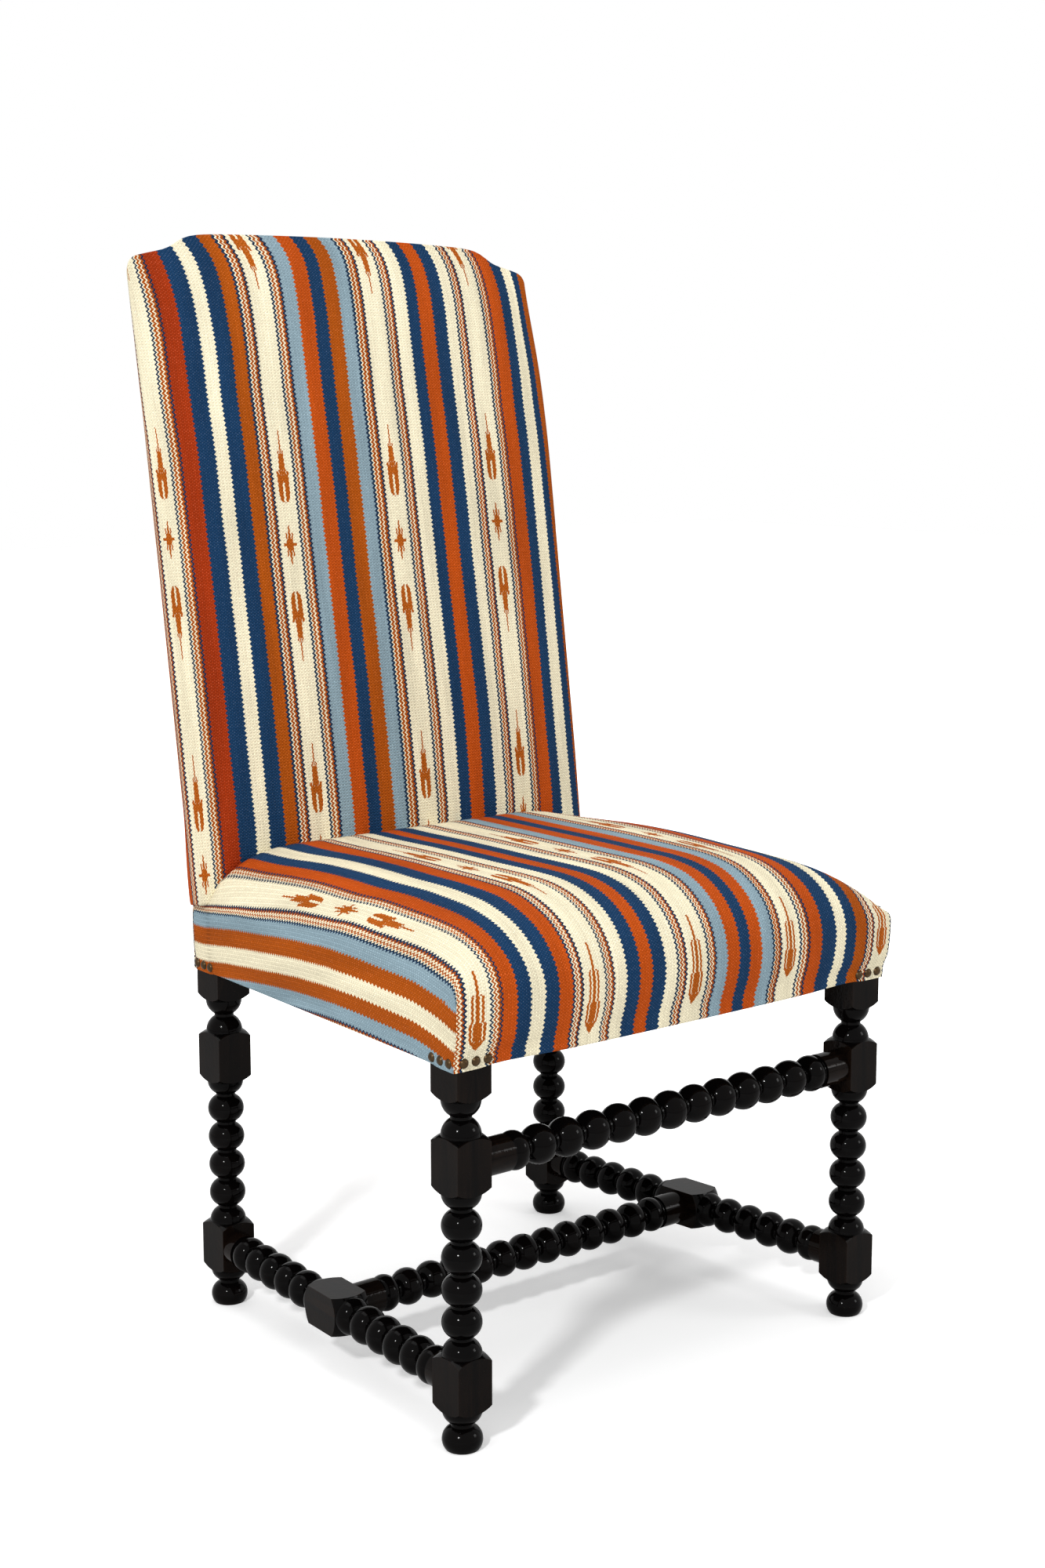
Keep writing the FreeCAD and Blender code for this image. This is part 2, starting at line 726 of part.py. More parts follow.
def nail_places(leg_x, leg_y, front):
    # Seat point and outward direction of each dome nail on a leg's two outer faces.
    side = 1 if leg_x > 0 else -1
    places = []
    depth = leg_half + hem_offset
    face = Vector(side, side_slope, 0)
    face.normalize()
    offsets = [(index - (nails_per_face - 1) * half) * nail_pitch for index in range(nails_per_face)]
    for offset in offsets:
        outward = Vector(0, -1 if front else 1, 0)
        places.append((Vector(leg_x + offset, leg_y + outward.y * depth, nail_height), outward))
        y = leg_y + offset
        places.append((Vector(side * outer_x(y, hem_offset), y, nail_height), face))
    return places


def dome_nail(seat, outward, clearance=0.0):
    if clearance:
        start = seat + outward * nail_head_height
        return round_tenon(start, outward * -1, nail_length + clearance + nail_head_height,
                           nail_shank_radius + clearance)
    tip = nail_shank_radius + nail_shank_radius
    bend = math.sqrt(half)
    nail = turned((-nail_length, nail_shank_radius * half), [
        (tip - nail_length, nail_shank_radius),
        (0, nail_shank_radius),
        (0, nail_head_radius),
        (nail_head_height * bend, nail_head_radius * bend, nail_head_height, nail_shank_radius * half)])
    return along(nail, seat, outward)


def strips(count, low, high, start, end, level, thickness, lengthwise):
    # Evenly spaced webbing strips across a span.
    pitch = (high - low) / count
    pieces = []
    for index in range(count):
        centre = low + pitch * (index + half)
        a, b = centre - webbing_width * half, centre + webbing_width * half
        if lengthwise:
            pieces.append(box_between(Vector(a, start, level), Vector(b, end, level + thickness)))
        else:
            pieces.append(box_between(Vector(start, a, level), Vector(end, b, level + thickness)))
    return pieces


def make_seat_webbing():
    # Lengthwise strips on the rails and crosswise strips over them, clear of the back posts.
    inner = rear_leg_x - leg_half
    front_y = -leg_half + webbing_edge
    rear_y = rear_face_y - webbing_edge
    lengthwise = strips(seat_lengthwise_count, -inner, inner, front_y, rear_y, rail_top,
                        webbing_thickness, True)
    low = leg_half + webbing_edge
    high = leg_line_depth - leg_half - webbing_edge
    crosswise = []
    pitch = (high - low) / seat_crosswise_count
    for index in range(seat_crosswise_count):
        centre = low + pitch * (index + half)
        reach = rail_x(centre + webbing_width * half) - webbing_edge
        crosswise.append(box_between(
            Vector(-reach, centre - webbing_width * half, rail_top + webbing_thickness),
            Vector(reach, centre + webbing_width * half, rail_top + webbing_thickness * 2)))
    return lengthwise, crosswise


def make_back_webbing():
    # Upright strips over crosswise ones, on the front of the back frame.
    reach = back_half_width - back_edge_padding - webbing_edge
    low = lower_rail_bottom
    high = post_top + crest_rail_height * half - webbing_edge
    level = -post_half
    crosswise = []
    pitch = (high - low) / back_crosswise_count
    for index in range(back_crosswise_count):
        centre = low + pitch * (index + half)
        crosswise.append(to_back(box_between(
            Vector(-reach + webbing_edge, level - webbing_thickness, centre - webbing_width * half),
            Vector(reach - webbing_edge, level, centre + webbing_width * half))))
    inner = post_outer_x - post_width
    uprights = []
    pitch = (inner + inner) / back_upright_count
    level -= webbing_thickness
    for index in range(back_upright_count):
        centre = -inner + pitch * (index + half)
        uprights.append(to_back(box_between(
            Vector(centre - webbing_width * half, level - webbing_thickness, low),
            Vector(centre + webbing_width * half, level, high))))
    return uprights, crosswise


def group(shapes):
    return Part.makeCompound(shapes)


def build():
    parts = {}
    posts = []
    mortises = rail_mortises()
    for name, side in SIDES.items():
        parts["side_stretcher_" + name] = make_side_stretcher(side)
        screws = block_screws(side, True, screw_clearance)
        nails = nail_places(side * front_leg_x, 0, True)
        leg = turned_leg(rail_top)
        leg.translate(Vector(side * front_leg_x, 0, 0))
        bores = stretcher_mortises(side * front_leg_x, 0, True)
        pilots = [dome_nail(seat, outward, nail_clearance) for seat, outward in nails]
        parts["front_leg_" + name] = leg.cut(group(mortises + bores + screws + pilots))
        parts["front_nails_" + name] = group([dome_nail(seat, outward) for seat, outward in nails])

        screws = block_screws(side, False, screw_clearance)
        nails = nail_places(side * rear_leg_x, leg_line_depth, False)
        leg = turned_leg(rail_top)
        leg.translate(Vector(side * rear_leg_x, leg_line_depth, 0))
        bores = stretcher_mortises(side * rear_leg_x, leg_line_depth, False)
        post = raked_post(side)
        posts.append(post)
        leg = leg.fuse(post).fuse(post_tenon(side)).removeSplitter()
        pilots = [dome_nail(seat, outward, nail_clearance) for seat, outward in nails]
        cutters = mortises + bores + screws + pilots + [lower_rail_tenons(joint_clearance)]
        parts["rear_leg_" + name] = leg.cut(group(cutters))
        parts["rear_nails_" + name] = group([dome_nail(seat, outward) for seat, outward in nails])

    parts["front_stretcher"] = make_front_stretcher()
    parts["medial_stretcher"] = make_medial_stretcher()

    parts["front_seat_rail"] = with_tenon(cross_rail(front_leg_x, -leg_half, 1))
    parts["rear_seat_rail"] = with_tenon(cross_rail(rear_leg_x, rear_face_y, -1))
    screws = []
    for name, side in SIDES.items():
        parts["side_seat_rail_" + name] = with_tenon(side_rail(side))
        for end, front in (("front", True), ("rear", False)):
            block, first, last = corner_block(side, front)
            bores = block_screws(side, front, screw_clearance)
            parts[end + "_corner_block_" + name] = block.cut(group(bores))
            screws += block_screws(side, front)
    parts["corner_block_screws"] = group(screws)

    parts["crest_rail"] = make_crest_rail()
    parts["lower_back_rail"] = make_lower_back_rail(posts)

    lengthwise, crosswise = make_seat_webbing()
    parts["seat_webbing_lengthwise"] = group(lengthwise)
    parts["seat_webbing_crosswise"] = group(crosswise)
    uprights, crossing = make_back_webbing()
    parts["back_webbing_upright"] = group(uprights)
    parts["back_webbing_crosswise"] = group(crossing)

    parts.update(make_seat_upholstery())
    parts.update(make_back_upholstery())
    parts.update(make_dust_cover())
    return parts


def back_clearance_cutter():
    # The space of the back, which the seat stops short of.
    body = back_body(0.0, back_bottom - wadding_gap)
    body.translate(Vector(0, -wadding_gap, 0))
    behind = back_slab(back_widest_depth, back_arch_height, back_bottom - wadding_gap, back_arch_height,
                       front_leg_spacing)
    return [body, behind]


def make_seat_upholstery():
    outer = seat_body()
    inner = seat_body(cover_thickness)
    back_space = back_clearance_cutter()
    open_rear = box_between(Vector(-front_leg_spacing, rear_face_y + cover_gap, 0),
                            Vector(front_leg_spacing, rear_face_y + overrun, back_arch_height))
    cover = outer.cut(inner)
    hem = outer.common(box_between(Vector(-front_leg_spacing, -front_leg_spacing, hem_bottom),
                                   Vector(front_leg_spacing, rear_face_y - hem_turn_in, rail_bottom)))
    hem = hem.cut(frame_plan(-hem_turn_in, hem_bottom, rail_bottom))
    hem = hem.cut(group(leg_columns(cover_gap, hem_bottom, rail_bottom)))
    cover = cover.fuse(hem)
    nails = []
    for leg_x, leg_y, front in ((front_leg_x, 0, True), (rear_leg_x, leg_line_depth, False)):
        for side in SIDES.values():
            nails += [dome_nail(seat, outward, nail_clearance)
                      for seat, outward in nail_places(side * leg_x, leg_y, front)]
    cover = cover.cut(open_rear)
    for space in back_space:
        cover = cover.cut(space)
    cover = cover.cut(group(nails))

    hessian = frame_plan(-webbing_edge, deck_top - hessian_thickness, deck_top)
    posts_space = group([raked_post_space(side) for side in SIDES.values()])
    hessian = hessian.cut(posts_space)

    padding = inner.common(box_between(Vector(-front_leg_spacing, -front_leg_spacing, deck_top),
                                       Vector(front_leg_spacing, leg_line_depth, back_arch_height)))
    for space in back_space:
        padding = padding.cut(space)
    padding = padding.cut(posts_space)

    wadding_bottom = hem_bottom + hem_height + wadding_lift
    wadding = seat_body(cover_thickness + wadding_gap)
    wadding = wadding.common(box_between(Vector(-front_leg_spacing, -front_leg_spacing, wadding_bottom),
                                         Vector(front_leg_spacing, rear_face_y, rail_top)))
    wadding = wadding.cut(frame_plan(wadding_gap, rail_bottom, rail_top))
    for space in back_space:
        wadding = wadding.cut(space)
    return {"seat_cover": cover, "seat_hessian": hessian, "seat_padding": padding,
            "seat_edge_wadding": wadding}


def raked_post_space(side):
    # Room round a back post where it passes the seat deck.
    outer = rear_leg_x + leg_half + cover_gap
    inner = rear_leg_x + leg_half - post_width - cover_gap
    low = Vector(min(side * inner, side * outer), leg_line_depth - leg_half, rail_top)
    high = Vector(max(side * inner, side * outer), rear_face_y + overrun, rail_top + overrun)
    return box_between(low, high)


def make_back_upholstery():
    outer = back_body()
    inner = back_body(cover_thickness, back_bottom)
    rear_plane = post_half + wadding_gap
    behind = back_slab(rear_plane, back_arch_height, back_bottom - overrun, back_arch_height + overrun,
                       front_leg_spacing)
    seat_space = frame_plan(wadding_gap, 0, deck_top + wadding_gap)
    cover = outer.cut(inner).cut(behind).cut(seat_space)

    deck = -post_half - webbing_thickness - webbing_thickness
    rim = back_edge_padding + webbing_edge
    hessian = outline_prism(deck - hessian_thickness, deck, rim, rim)
    hessian = hessian.cut(back_slab(deck - overrun, deck + overrun, back_bottom - overrun,
                                    lower_rail_bottom))
    front_space = back_slab(-back_arch_height, deck - hessian_thickness, back_bottom,
                            back_arch_height + overrun, front_leg_spacing)
    padding = inner.common(front_space).cut(seat_space)

    wadding = back_body(cover_thickness + wadding_gap, back_bottom)
    wadding = wadding.cut(behind)
    wadding = wadding.cut(back_slab(-back_arch_height, deck - hessian_thickness + wadding_gap,
                                    back_bottom - overrun, back_arch_height + overrun, front_leg_spacing))
    frame_rim = back_edge_padding - wadding_gap
    wadding = wadding.cut(outline_prism(-overrun, overrun, frame_rim, frame_rim)).cut(seat_space)
    wadding = wadding.cut(back_slab(-overrun, overrun, back_bottom - overrun, post_flare_end,
                                    post_outer_x + wadding_gap))

    panel = outline_prism(rear_plane, rear_plane + cover_thickness, back_side_taper, back_top_taper)
    panel = panel.cut(back_slab(-overrun, overrun, back_bottom - overrun, 0, front_leg_spacing))
    flap_x = rear_leg_x + leg_half + hem_offset
    flap_y = rear_face_y + cover_gap
    flap = box_between(Vector(-flap_x, flap_y, hem_bottom),
                       Vector(flap_x, flap_y + cover_thickness, rail_top))
    turn_x = rear_leg_x - leg_half - cover_gap
    turn_in = box_between(Vector(-turn_x, rear_face_y - hem_turn_in + cover_gap, hem_bottom),
                          Vector(turn_x, flap_y, rail_bottom))
    outside = panel.multiFuse([flap, turn_in])
    nails = []
    for side in SIDES.values():
        nails += [dome_nail(seat, outward, nail_clearance)
                  for seat, outward in nail_places(side * rear_leg_x, leg_line_depth, False)]
    outside = outside.cut(group(nails))
    return {"inside_back_cover": cover, "back_hessian": hessian, "back_padding": padding,
            "back_edge_wadding": wadding, "outside_back_cover": outside}


def make_dust_cover():
    top = hem_bottom
    bottom = top - dust_cover_thickness
    sheet = frame_plan(-dust_cover_inset, bottom, top)
    return {"dust_cover": sheet.cut(group(leg_columns(cover_gap, bottom, top)))}


def stand_on_origin(parts):
    # The origin is on the floor, under the middle of the whole chair's box.
    low_y = min(shape.optimalBoundingBox().YMin for shape in parts.values())
    high_y = max(shape.optimalBoundingBox().YMax for shape in parts.values())
    shift = Vector(0, -(low_y + high_y) * half, 0)
    for shape in parts.values():
        shape.translate(shift)
    return shift


parts = build()
stand_on_origin(parts)
os.makedirs("parts", exist_ok=True)
for node, shape in sorted(parts.items()):
    shape.exportStep(os.path.join("parts", node + ".step"))
    state = "valid" if shape.isValid() else "NOT VALID"
    print(node, len(shape.Solids), "solids", round(shape.Volume), "mm3", state)
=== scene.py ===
import bmesh
import bpy
from math import cos, pi, radians, sin, sqrt
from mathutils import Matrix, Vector
from mathutils.bvhtree import BVHTree


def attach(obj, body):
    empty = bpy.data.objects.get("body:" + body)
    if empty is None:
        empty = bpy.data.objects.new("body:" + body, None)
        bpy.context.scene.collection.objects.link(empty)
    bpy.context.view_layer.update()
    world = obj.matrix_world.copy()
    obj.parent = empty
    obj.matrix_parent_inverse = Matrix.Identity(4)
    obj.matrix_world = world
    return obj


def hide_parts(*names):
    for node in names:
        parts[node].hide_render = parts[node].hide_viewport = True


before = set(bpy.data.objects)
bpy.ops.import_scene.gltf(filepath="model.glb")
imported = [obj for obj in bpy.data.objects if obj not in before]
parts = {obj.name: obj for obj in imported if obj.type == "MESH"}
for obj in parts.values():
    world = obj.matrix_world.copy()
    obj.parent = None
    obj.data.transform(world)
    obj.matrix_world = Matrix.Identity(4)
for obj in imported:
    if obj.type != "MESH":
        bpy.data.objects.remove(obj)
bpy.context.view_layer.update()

mm = 0.001
rowShift = -253.836  # the front legs' line is that far from the origin, in mm
print("frame loaded:", len(parts), "nodes")


def hexColour(code):
    # sRGB hex to the linear colour that a shader takes
    channels = [int(code[i:i + 2], 16) / 255 for i in (0, 2, 4)]
    return [c / 12.92 if c <= 0.04045 else ((c + 0.055) / 1.055) ** 2.4 for c in channels] + [1]


def setInputs(tree, node, inputs):
    for key, value in inputs.items():
        if isinstance(value, bpy.types.NodeSocket):
            tree.links.new(value, node.inputs[key])
        else:
            node.inputs[key].default_value = value


def addNode(tree, kind, inputs=None, **settings):
    node = tree.nodes.new("ShaderNode" + kind)
    for key, value in settings.items():
        setattr(node, key, value)
    setInputs(tree, node, inputs or {})
    return node


def calc(tree, operation, *values):
    return addNode(tree, "Math", dict(enumerate(values)), operation=operation).outputs[0]


def remap(tree, value, low, high, toLow, toHigh, **settings):
    # low to high becomes toLow to toHigh, and the end values hold beyond them
    inputs = {0: value, 1: low, 2: high, 3: toLow, 4: toHigh}
    return addNode(tree, "MapRange", inputs, **settings).outputs[0]


def noise(tree, where, scale, detail=2.0):
    inputs = {"Vector": where, "Scale": scale, "Detail": detail}
    return addNode(tree, "TexNoise", inputs).outputs[0]


def objectSpot(tree):
    return addNode(tree, "TexCoord").outputs["Object"]


def mixColour(tree, share, first, second, blend="MIX"):
    inputs = {0: share, 6: first, 7: second}
    return addNode(tree, "Mix", inputs, data_type="RGBA", blend_type=blend).outputs[2]


def mixValue(tree, share, first, second):
    return addNode(tree, "Mix", {0: share, 2: first, 3: second}).outputs[0]


def fillRamp(ramp, stops, interpolation="LINEAR"):
    # stops are (share from 0 to 1, colour)
    ramp.interpolation = interpolation
    while len(ramp.elements) > 1:
        ramp.elements.remove(ramp.elements[0])
    ramp.elements[0].position, ramp.elements[0].color = stops[0]
    for share, colour in stops[1:]:
        ramp.elements.new(share).color = colour


def newMaterial(name, shown):
    material = bpy.data.materials.new(name)
    material.use_nodes = True
    tree = material.node_tree
    material.diffuse_color = hexColour(shown)
    return material, tree, tree.nodes["Principled BSDF"]


def paintBetween(tree, shader, share, first, second, **inputs):
    # a base colour between two sRGB codes, and other inputs by their names
    colour = mixColour(tree, share, hexColour(first), hexColour(second))
    setInputs(tree, shader, {"Base Color": colour, **inputs})


def bumpInto(tree, shader, height, distance, strength=1.0):
    bump = addNode(tree, "Bump", {"Height": height, "Distance": distance, "Strength": strength})
    tree.links.new(bump.outputs[0], shader.inputs["Normal"])


wool = dict(
    cream="EFE5C6", navy="112C48", blue="10365A", sky="889FAA", rust="B84A08", ochre="A64C04",
    brick="9C3006", motif="AE560E", warp="E6DABE")

# pitches, depths, wander and the span of the figures' lifts in mm; noise scales per metre of cloth
kilim = dict(
    toothPitch=4.8, toothDepth=1.3, toothJitter=1.2, rowPitch=1.5, yarnPitch=2.0, wander=0.8,
    slowScale=22.0, quickScale=260.0, liftSpan=100.0, figureTeeth=0.35,
    # the two spans after dyeTone, with crown and light, set the painted highlight on the weft crowns and
    # the pale warp there
    dyeStretch=(60.0, 7.0, 1.0), dyeTone=(0.86, 1.12), highlightNoiseSpan=(0.45, 0.75), fleck=(0.2, 0.8),
    crown=3.0, light=(1.5, 0.86), warpShare=0.14, roughness=0.88, specular=0.08,
    fuzz=0.2, rowRelief=0.35, relief=0.0005, reliefStrength=0.8)

edgeBand = [("navy", 2.6), ("cream", 1.6), ("ochre", 2.5), ("cream", 1.8), ("ochre", 2.6), ("navy", 2.4)]

# woven figures, as (share of the length from the tail, half widths in mm: outer edge, then slit and core)
figures = dict(
    beetle=[(0, 0), (.01, .7), (.27, .9), (.285, 3.2, 1.6, .8), (.32, 3.4, 1.8, .8), (.33, 3.0), (.55, 3.6),
            (.56, 7.2, 4.6, 3.8), (.60, 7.4, 4.4, 3.8), (.62, 6.6), (.71, 6.8), (.73, 6.4, 1.1, 0),
            (.86, 6.6, 1.2, 0), (.95, 5.2, 1.2, 0), (.985, 3.4, 1.0, 0), (.995, 0)],
    star=[(0, 0), (.02, .8), (.2, 1.2), (.22, 4.6, 2.8, 1.4), (.34, 4.2, 2.4, 1.6), (.36, 3.4), (.46, 4.2),
          (.47, 7.8), (.53, 7.8), (.54, 4.2), (.64, 3.4), (.66, 4.2, 2.4, 1.6), (.78, 4.6, 2.8, 1.4),
          (.8, 1.2), (.98, .8), (.995, 0)],
    arrow=[(0, 0), (.01, 1.1), (.30, 1.4), (.31, 5.9, 3.6, 1.8), (.64, 5.9, 3.6, 1.8),
           (.65, 8.0, 5.2, 4.1), (.86, 7.4, 5.1, 4.1), (.88, 6.4), (.97, 1.8), (.995, 0)])


def liftsAlong(tree, along, lifts):
    # the figures of one cream stripe don't lie level with the next: three strips of lifts in mm
    low, high, span = lifts[0][0], lifts[-1][0], kilim["liftSpan"]
    ramp = addNode(tree, "ValToRGB", {0: remap(tree, along, low, high, 0.0, 1.0)})
    fillRamp(ramp.color_ramp, [((v - low) / (high - low), [0.5 + each / span for each in values] + [1])
                               for v, values in lifts])
    strips = list(addNode(tree, "SeparateColor", {0: ramp.outputs[0]}).outputs)[:3]
    return [0.0] + [calc(tree, "MULTIPLY_ADD", each, span, -span / 2) for each in strips]


def stripesAcross(tree, drawn, across, along, sections, liftOf):
    # the stripe's colour, the distance from its cream stripe's middle, and the length along its figures
    colour = None
    for start, middle, lift, run in sections:
        stops, reach = [], 0.0
        total = sum(width for _, width in run)
        for shade, width in run:
            stops.append((reach / total, hexColour(wool[shade])))
            reach += width
        share = remap(tree, drawn, start, start + total, 0.0, 1.0)
        ramp = addNode(tree, "ValToRGB", {0: share})
        fillRamp(ramp.color_ramp, stops, "CONSTANT")
        fromMiddle = calc(tree, "SUBTRACT", across, middle)
        raised = calc(tree, "SUBTRACT", along, liftOf[lift])
        if colour is None:
            colour, offset, lifted = ramp.outputs[0], fromMiddle, raised
            continue
        past = calc(tree, "GREATER_THAN", drawn, start)
        colour = mixColour(tree, past, colour, ramp.outputs[0])
        offset = mixValue(tree, past, offset, fromMiddle)
        lifted = mixValue(tree, past, lifted, raised)
    return colour, offset, lifted


def figuresOn(tree, offset, lifted, tooth, placed):
    # 1 inside a woven figure: a share along the figure, then its half widths there
    stepped = calc(tree, "SNAP", lifted, kilim["rowPitch"])
    toothed = calc(tree, "ADD", offset, calc(tree, "MULTIPLY", tooth, kilim["figureTeeth"]))
    tenth = calc(tree, "MULTIPLY", calc(tree, "ABSOLUTE", toothed), 0.1)
    marked = 0.0
    for figure, widths in figures.items():
        if figure not in placed:
            continue
        share = 0.0
        for tail, head in placed[figure]:
            span = remap(tree, stepped, tail, head, 0.0, 1.0)
            share = calc(tree, "ADD", share, calc(tree, "FRACT", span))
        ramp = addNode(tree, "ValToRGB", {0: share})
        full = [(t, (half + [0, 0])[:3]) for t, *half in widths]
        fillRamp(ramp.color_ramp, [(t, [each / 10 for each in three] + [1]) for t, three in full])
        edge, slit, core = list(addNode(tree, "SeparateColor", {0: ramp.outputs[0]}).outputs)[:3]
        inside = calc(tree, "LESS_THAN", tenth, edge)
        pastSlit = calc(tree, "GREATER_THAN", tenth, slit)
        inCore = calc(tree, "LESS_THAN", tenth, core)
        here = calc(tree, "MAXIMUM", calc(tree, "MULTIPLY", inside, pastSlit), inCore)
        marked = calc(tree, "MAXIMUM", marked, here)
    return marked


def kilimCloth(name, sections, placed, lifts):
    # flat-woven wool; the UV map cloth runs across (u) and along (v) the stripes
    material, tree, shader = newMaterial(name, "C9A98A")
    uv = addNode(tree, "UVMap", uv_map="cloth").outputs[0]
    axes = addNode(tree, "SeparateXYZ", {0: uv})
    across = calc(tree, "MULTIPLY", axes.outputs[0], 1000.0)
    along = calc(tree, "MULTIPLY", axes.outputs[1], 1000.0)

    # the edge of each stripe steps from weft to weft, drawn a third coarser than real so that it shows
    slow = noise(tree, uv, kilim["slowScale"])
    quick = noise(tree, uv, kilim["quickScale"], 1.0)
    pitch, depth = kilim["toothPitch"], kilim["toothDepth"]
    jittered = calc(tree, "ADD", along, calc(tree, "MULTIPLY", quick, kilim["toothJitter"]))
    tooth = calc(tree, "PINGPONG", jittered, pitch / 2)
    tooth = calc(tree, "MULTIPLY_ADD", tooth, 4 * depth / pitch, -depth)
    wander = calc(tree, "MULTIPLY_ADD", slow, 2 * kilim["wander"], -kilim["wander"])
    drawn = calc(tree, "ADD", calc(tree, "ADD", across, tooth), wander)

    liftOf = liftsAlong(tree, along, lifts)
    colour, offset, lifted = stripesAcross(tree, drawn, across, along, sections, liftOf)
    marked = figuresOn(tree, offset, lifted, tooth, placed)
    colour = mixColour(tree, marked, colour, hexColour(wool["motif"]))

    # uneven dye along each stripe
    stretched = addNode(tree, "Mapping", {0: uv, 3: kilim["dyeStretch"]}).outputs[0]
    tone = remap(tree, noise(tree, stretched, 1.0, 3.0), 0.3, 0.7, *kilim["dyeTone"])
    # painted highlight: a weft that stands proud is painted lighter at its crown, as if it caught the
    # light; only its crown lets the pale warp through
    rows = calc(tree, "MULTIPLY", along, pi / kilim["rowPitch"])
    yarns = calc(tree, "FLOOR", calc(tree, "DIVIDE", across, kilim["yarnPitch"]))
    weft = calc(tree, "SINE", calc(tree, "ADD", rows, calc(tree, "MULTIPLY", yarns, pi)))
    over = calc(tree, "SINE", calc(tree, "MULTIPLY", across, pi / kilim["yarnPitch"]))
    weave = calc(tree, "MULTIPLY", calc(tree, "ABSOLUTE", over), calc(tree, "MULTIPLY_ADD", weft, 0.5, 0.5))
    highlightAndWarpNoise = remap(tree, quick, *kilim["highlightNoiseSpan"], *kilim["fleck"])
    fleck = calc(tree, "MULTIPLY", calc(tree, "POWER", weave, kilim["crown"]), highlightAndWarpNoise)
    # the uneven dye times the painted highlight on the weft crowns
    dyeToneAndPaintedHighlight = calc(tree, "MULTIPLY", tone, calc(tree, "MULTIPLY_ADD", fleck, *kilim["light"]))
    grey = addNode(tree, "CombineColor", {0: dyeToneAndPaintedHighlight, 1: dyeToneAndPaintedHighlight, 2: dyeToneAndPaintedHighlight}).outputs[0]
    colour = mixColour(tree, 1.0, colour, grey, "MULTIPLY")
    paleShare = calc(tree, "MULTIPLY", fleck, kilim["warpShare"])
    colour = mixColour(tree, paleShare, colour, hexColour(wool["warp"]))

    setInputs(tree, shader, {"Base Color": colour, "Roughness": kilim["roughness"],
                             "Specular IOR Level": kilim["specular"]})
    fuzz = calc(tree, "MULTIPLY_ADD", quick, kilim["fuzz"], weave)
    relief = calc(tree, "ADD", fuzz, calc(tree, "MULTIPLY", calc(tree, "SINE", rows), kilim["rowRelief"]))
    bumpInto(tree, shader, relief, kilim["relief"], kilim["reliefStrength"])
    return material


def fitBand(width):
    total = sum(each for _, each in edgeBand)
    return [(shade, each * width / total) for shade, each in edgeBand]


def section(start, lift, before, middle, after, stripes):
    # one repeat: edge band, cream stripe with figures, edge band, five plain stripes; lift names a strip
    run = fitBand(before) + [("cream", middle)] + fitBand(after) + stripes
    return start, start + before + middle / 2, lift, run


# widths and places of the stripes in mm across the cloth, then where figures start and end along it
backSections = [
    section(-400.0, 0, 13.5, 25, 13.5,
        [("sky", 17), ("rust", 17), ("blue", 17), ("rust", 19), ("sky", 0.1)]),
    section(-277.8, 1, 13.5, 24.8, 13.5,
        [("brick", 18), ("blue", 19.5), ("cream", 16), ("blue", 18.5), ("ochre", 16)]),
    section(-138.5, 0, 14, 24.5, 14.5,
        [("sky", 16), ("rust", 18), ("blue", 16), ("ochre", 17.5), ("sky", 16)]),
    section(-2.5, 2, 15.5, 25.5, 14,
        [("cream", 17.5), ("blue", 15), ("rust", 19), ("blue", 17.5), ("cream", 15)]),
    section(136.0, 3, 13, 26, 13.5,
        [("rust", 19), ("blue", 16), ("cream", 19), ("blue", 16), ("ochre", 60)])]
backPlaced = dict(beetle=[(466, 391), (229, 301), (145, 72), (611, 684)], star=[(328, 369), (9, 50)])
backLifts = [(30, (-5, 0, 11)), (108, (-4, 0, 11)), (265, (14, 2, 14)), (348, (13, -1, 15)),
             (430, (6, 7, 19)), (600, (6, 0, 13))]

seatSections = [
    section(-412.0, 0, 12, 24, 12,
        [("sky", 16), ("ochre", 16), ("cream", 18), ("ochre", 18), ("sky", 15)]),
    section(-281.0, 1, 12, 22, 11.5,
        [("rust", 16), ("blue", 16), ("cream", 16.5), ("blue", 16.5), ("rust", 17)]),
    section(-154.0, 0, 12, 26, 11.5,
        [("cream", 15), ("blue", 16.5), ("rust", 15.5), ("blue", 16), ("cream", 15)]),
    section(-27.0, 2, 12, 26, 12,
        [("sky", 14), ("rust", 16.5), ("blue", 14.5), ("rust", 16), ("sky", 16)]),
    section(99.5, 3, 12, 25.5, 15.5,
        [("rust", 17), ("blue", 21), ("cream", 15), ("blue", 15.5), ("ochre", 17)]),
    section(238.0, 3, 12, 25, 12,
        [("sky", 17), ("ochre", 16), ("cream", 16), ("ochre", 16), ("sky", 60)])]
seatPlaced = dict(arrow=[(99, 11)], beetle=[(170, 255), (437, 347)], star=[(276, 317)])
seatLifts = [(17, (6, 7, 14)), (95, (-9, 10, 8)), (180, (16, 6, 15)), (250, (-5, 2, 16)),
             (300, (-9, 4, 21)), (340, (-18, 0, 24)), (400, (-38, 1, 26)), (460, (-38, 3, 28))]

backKilim = kilimCloth("kilimOnTheBack", backSections, backPlaced, backLifts)
seatKilim = kilimCloth("kilimOnTheSeat", seatSections, seatPlaced, seatLifts)
print("kilim woven")


coat = dict(
    cloudScale=30.0, dragScale=260.0, darkest="020202", clouded="070505", rubbed="2A1D14",
    rubbedEdges=(0.52, 0.60), rubbedShare=0.5, roughness=(0.05, 0.12), specular=0.06, drag=0.00015)


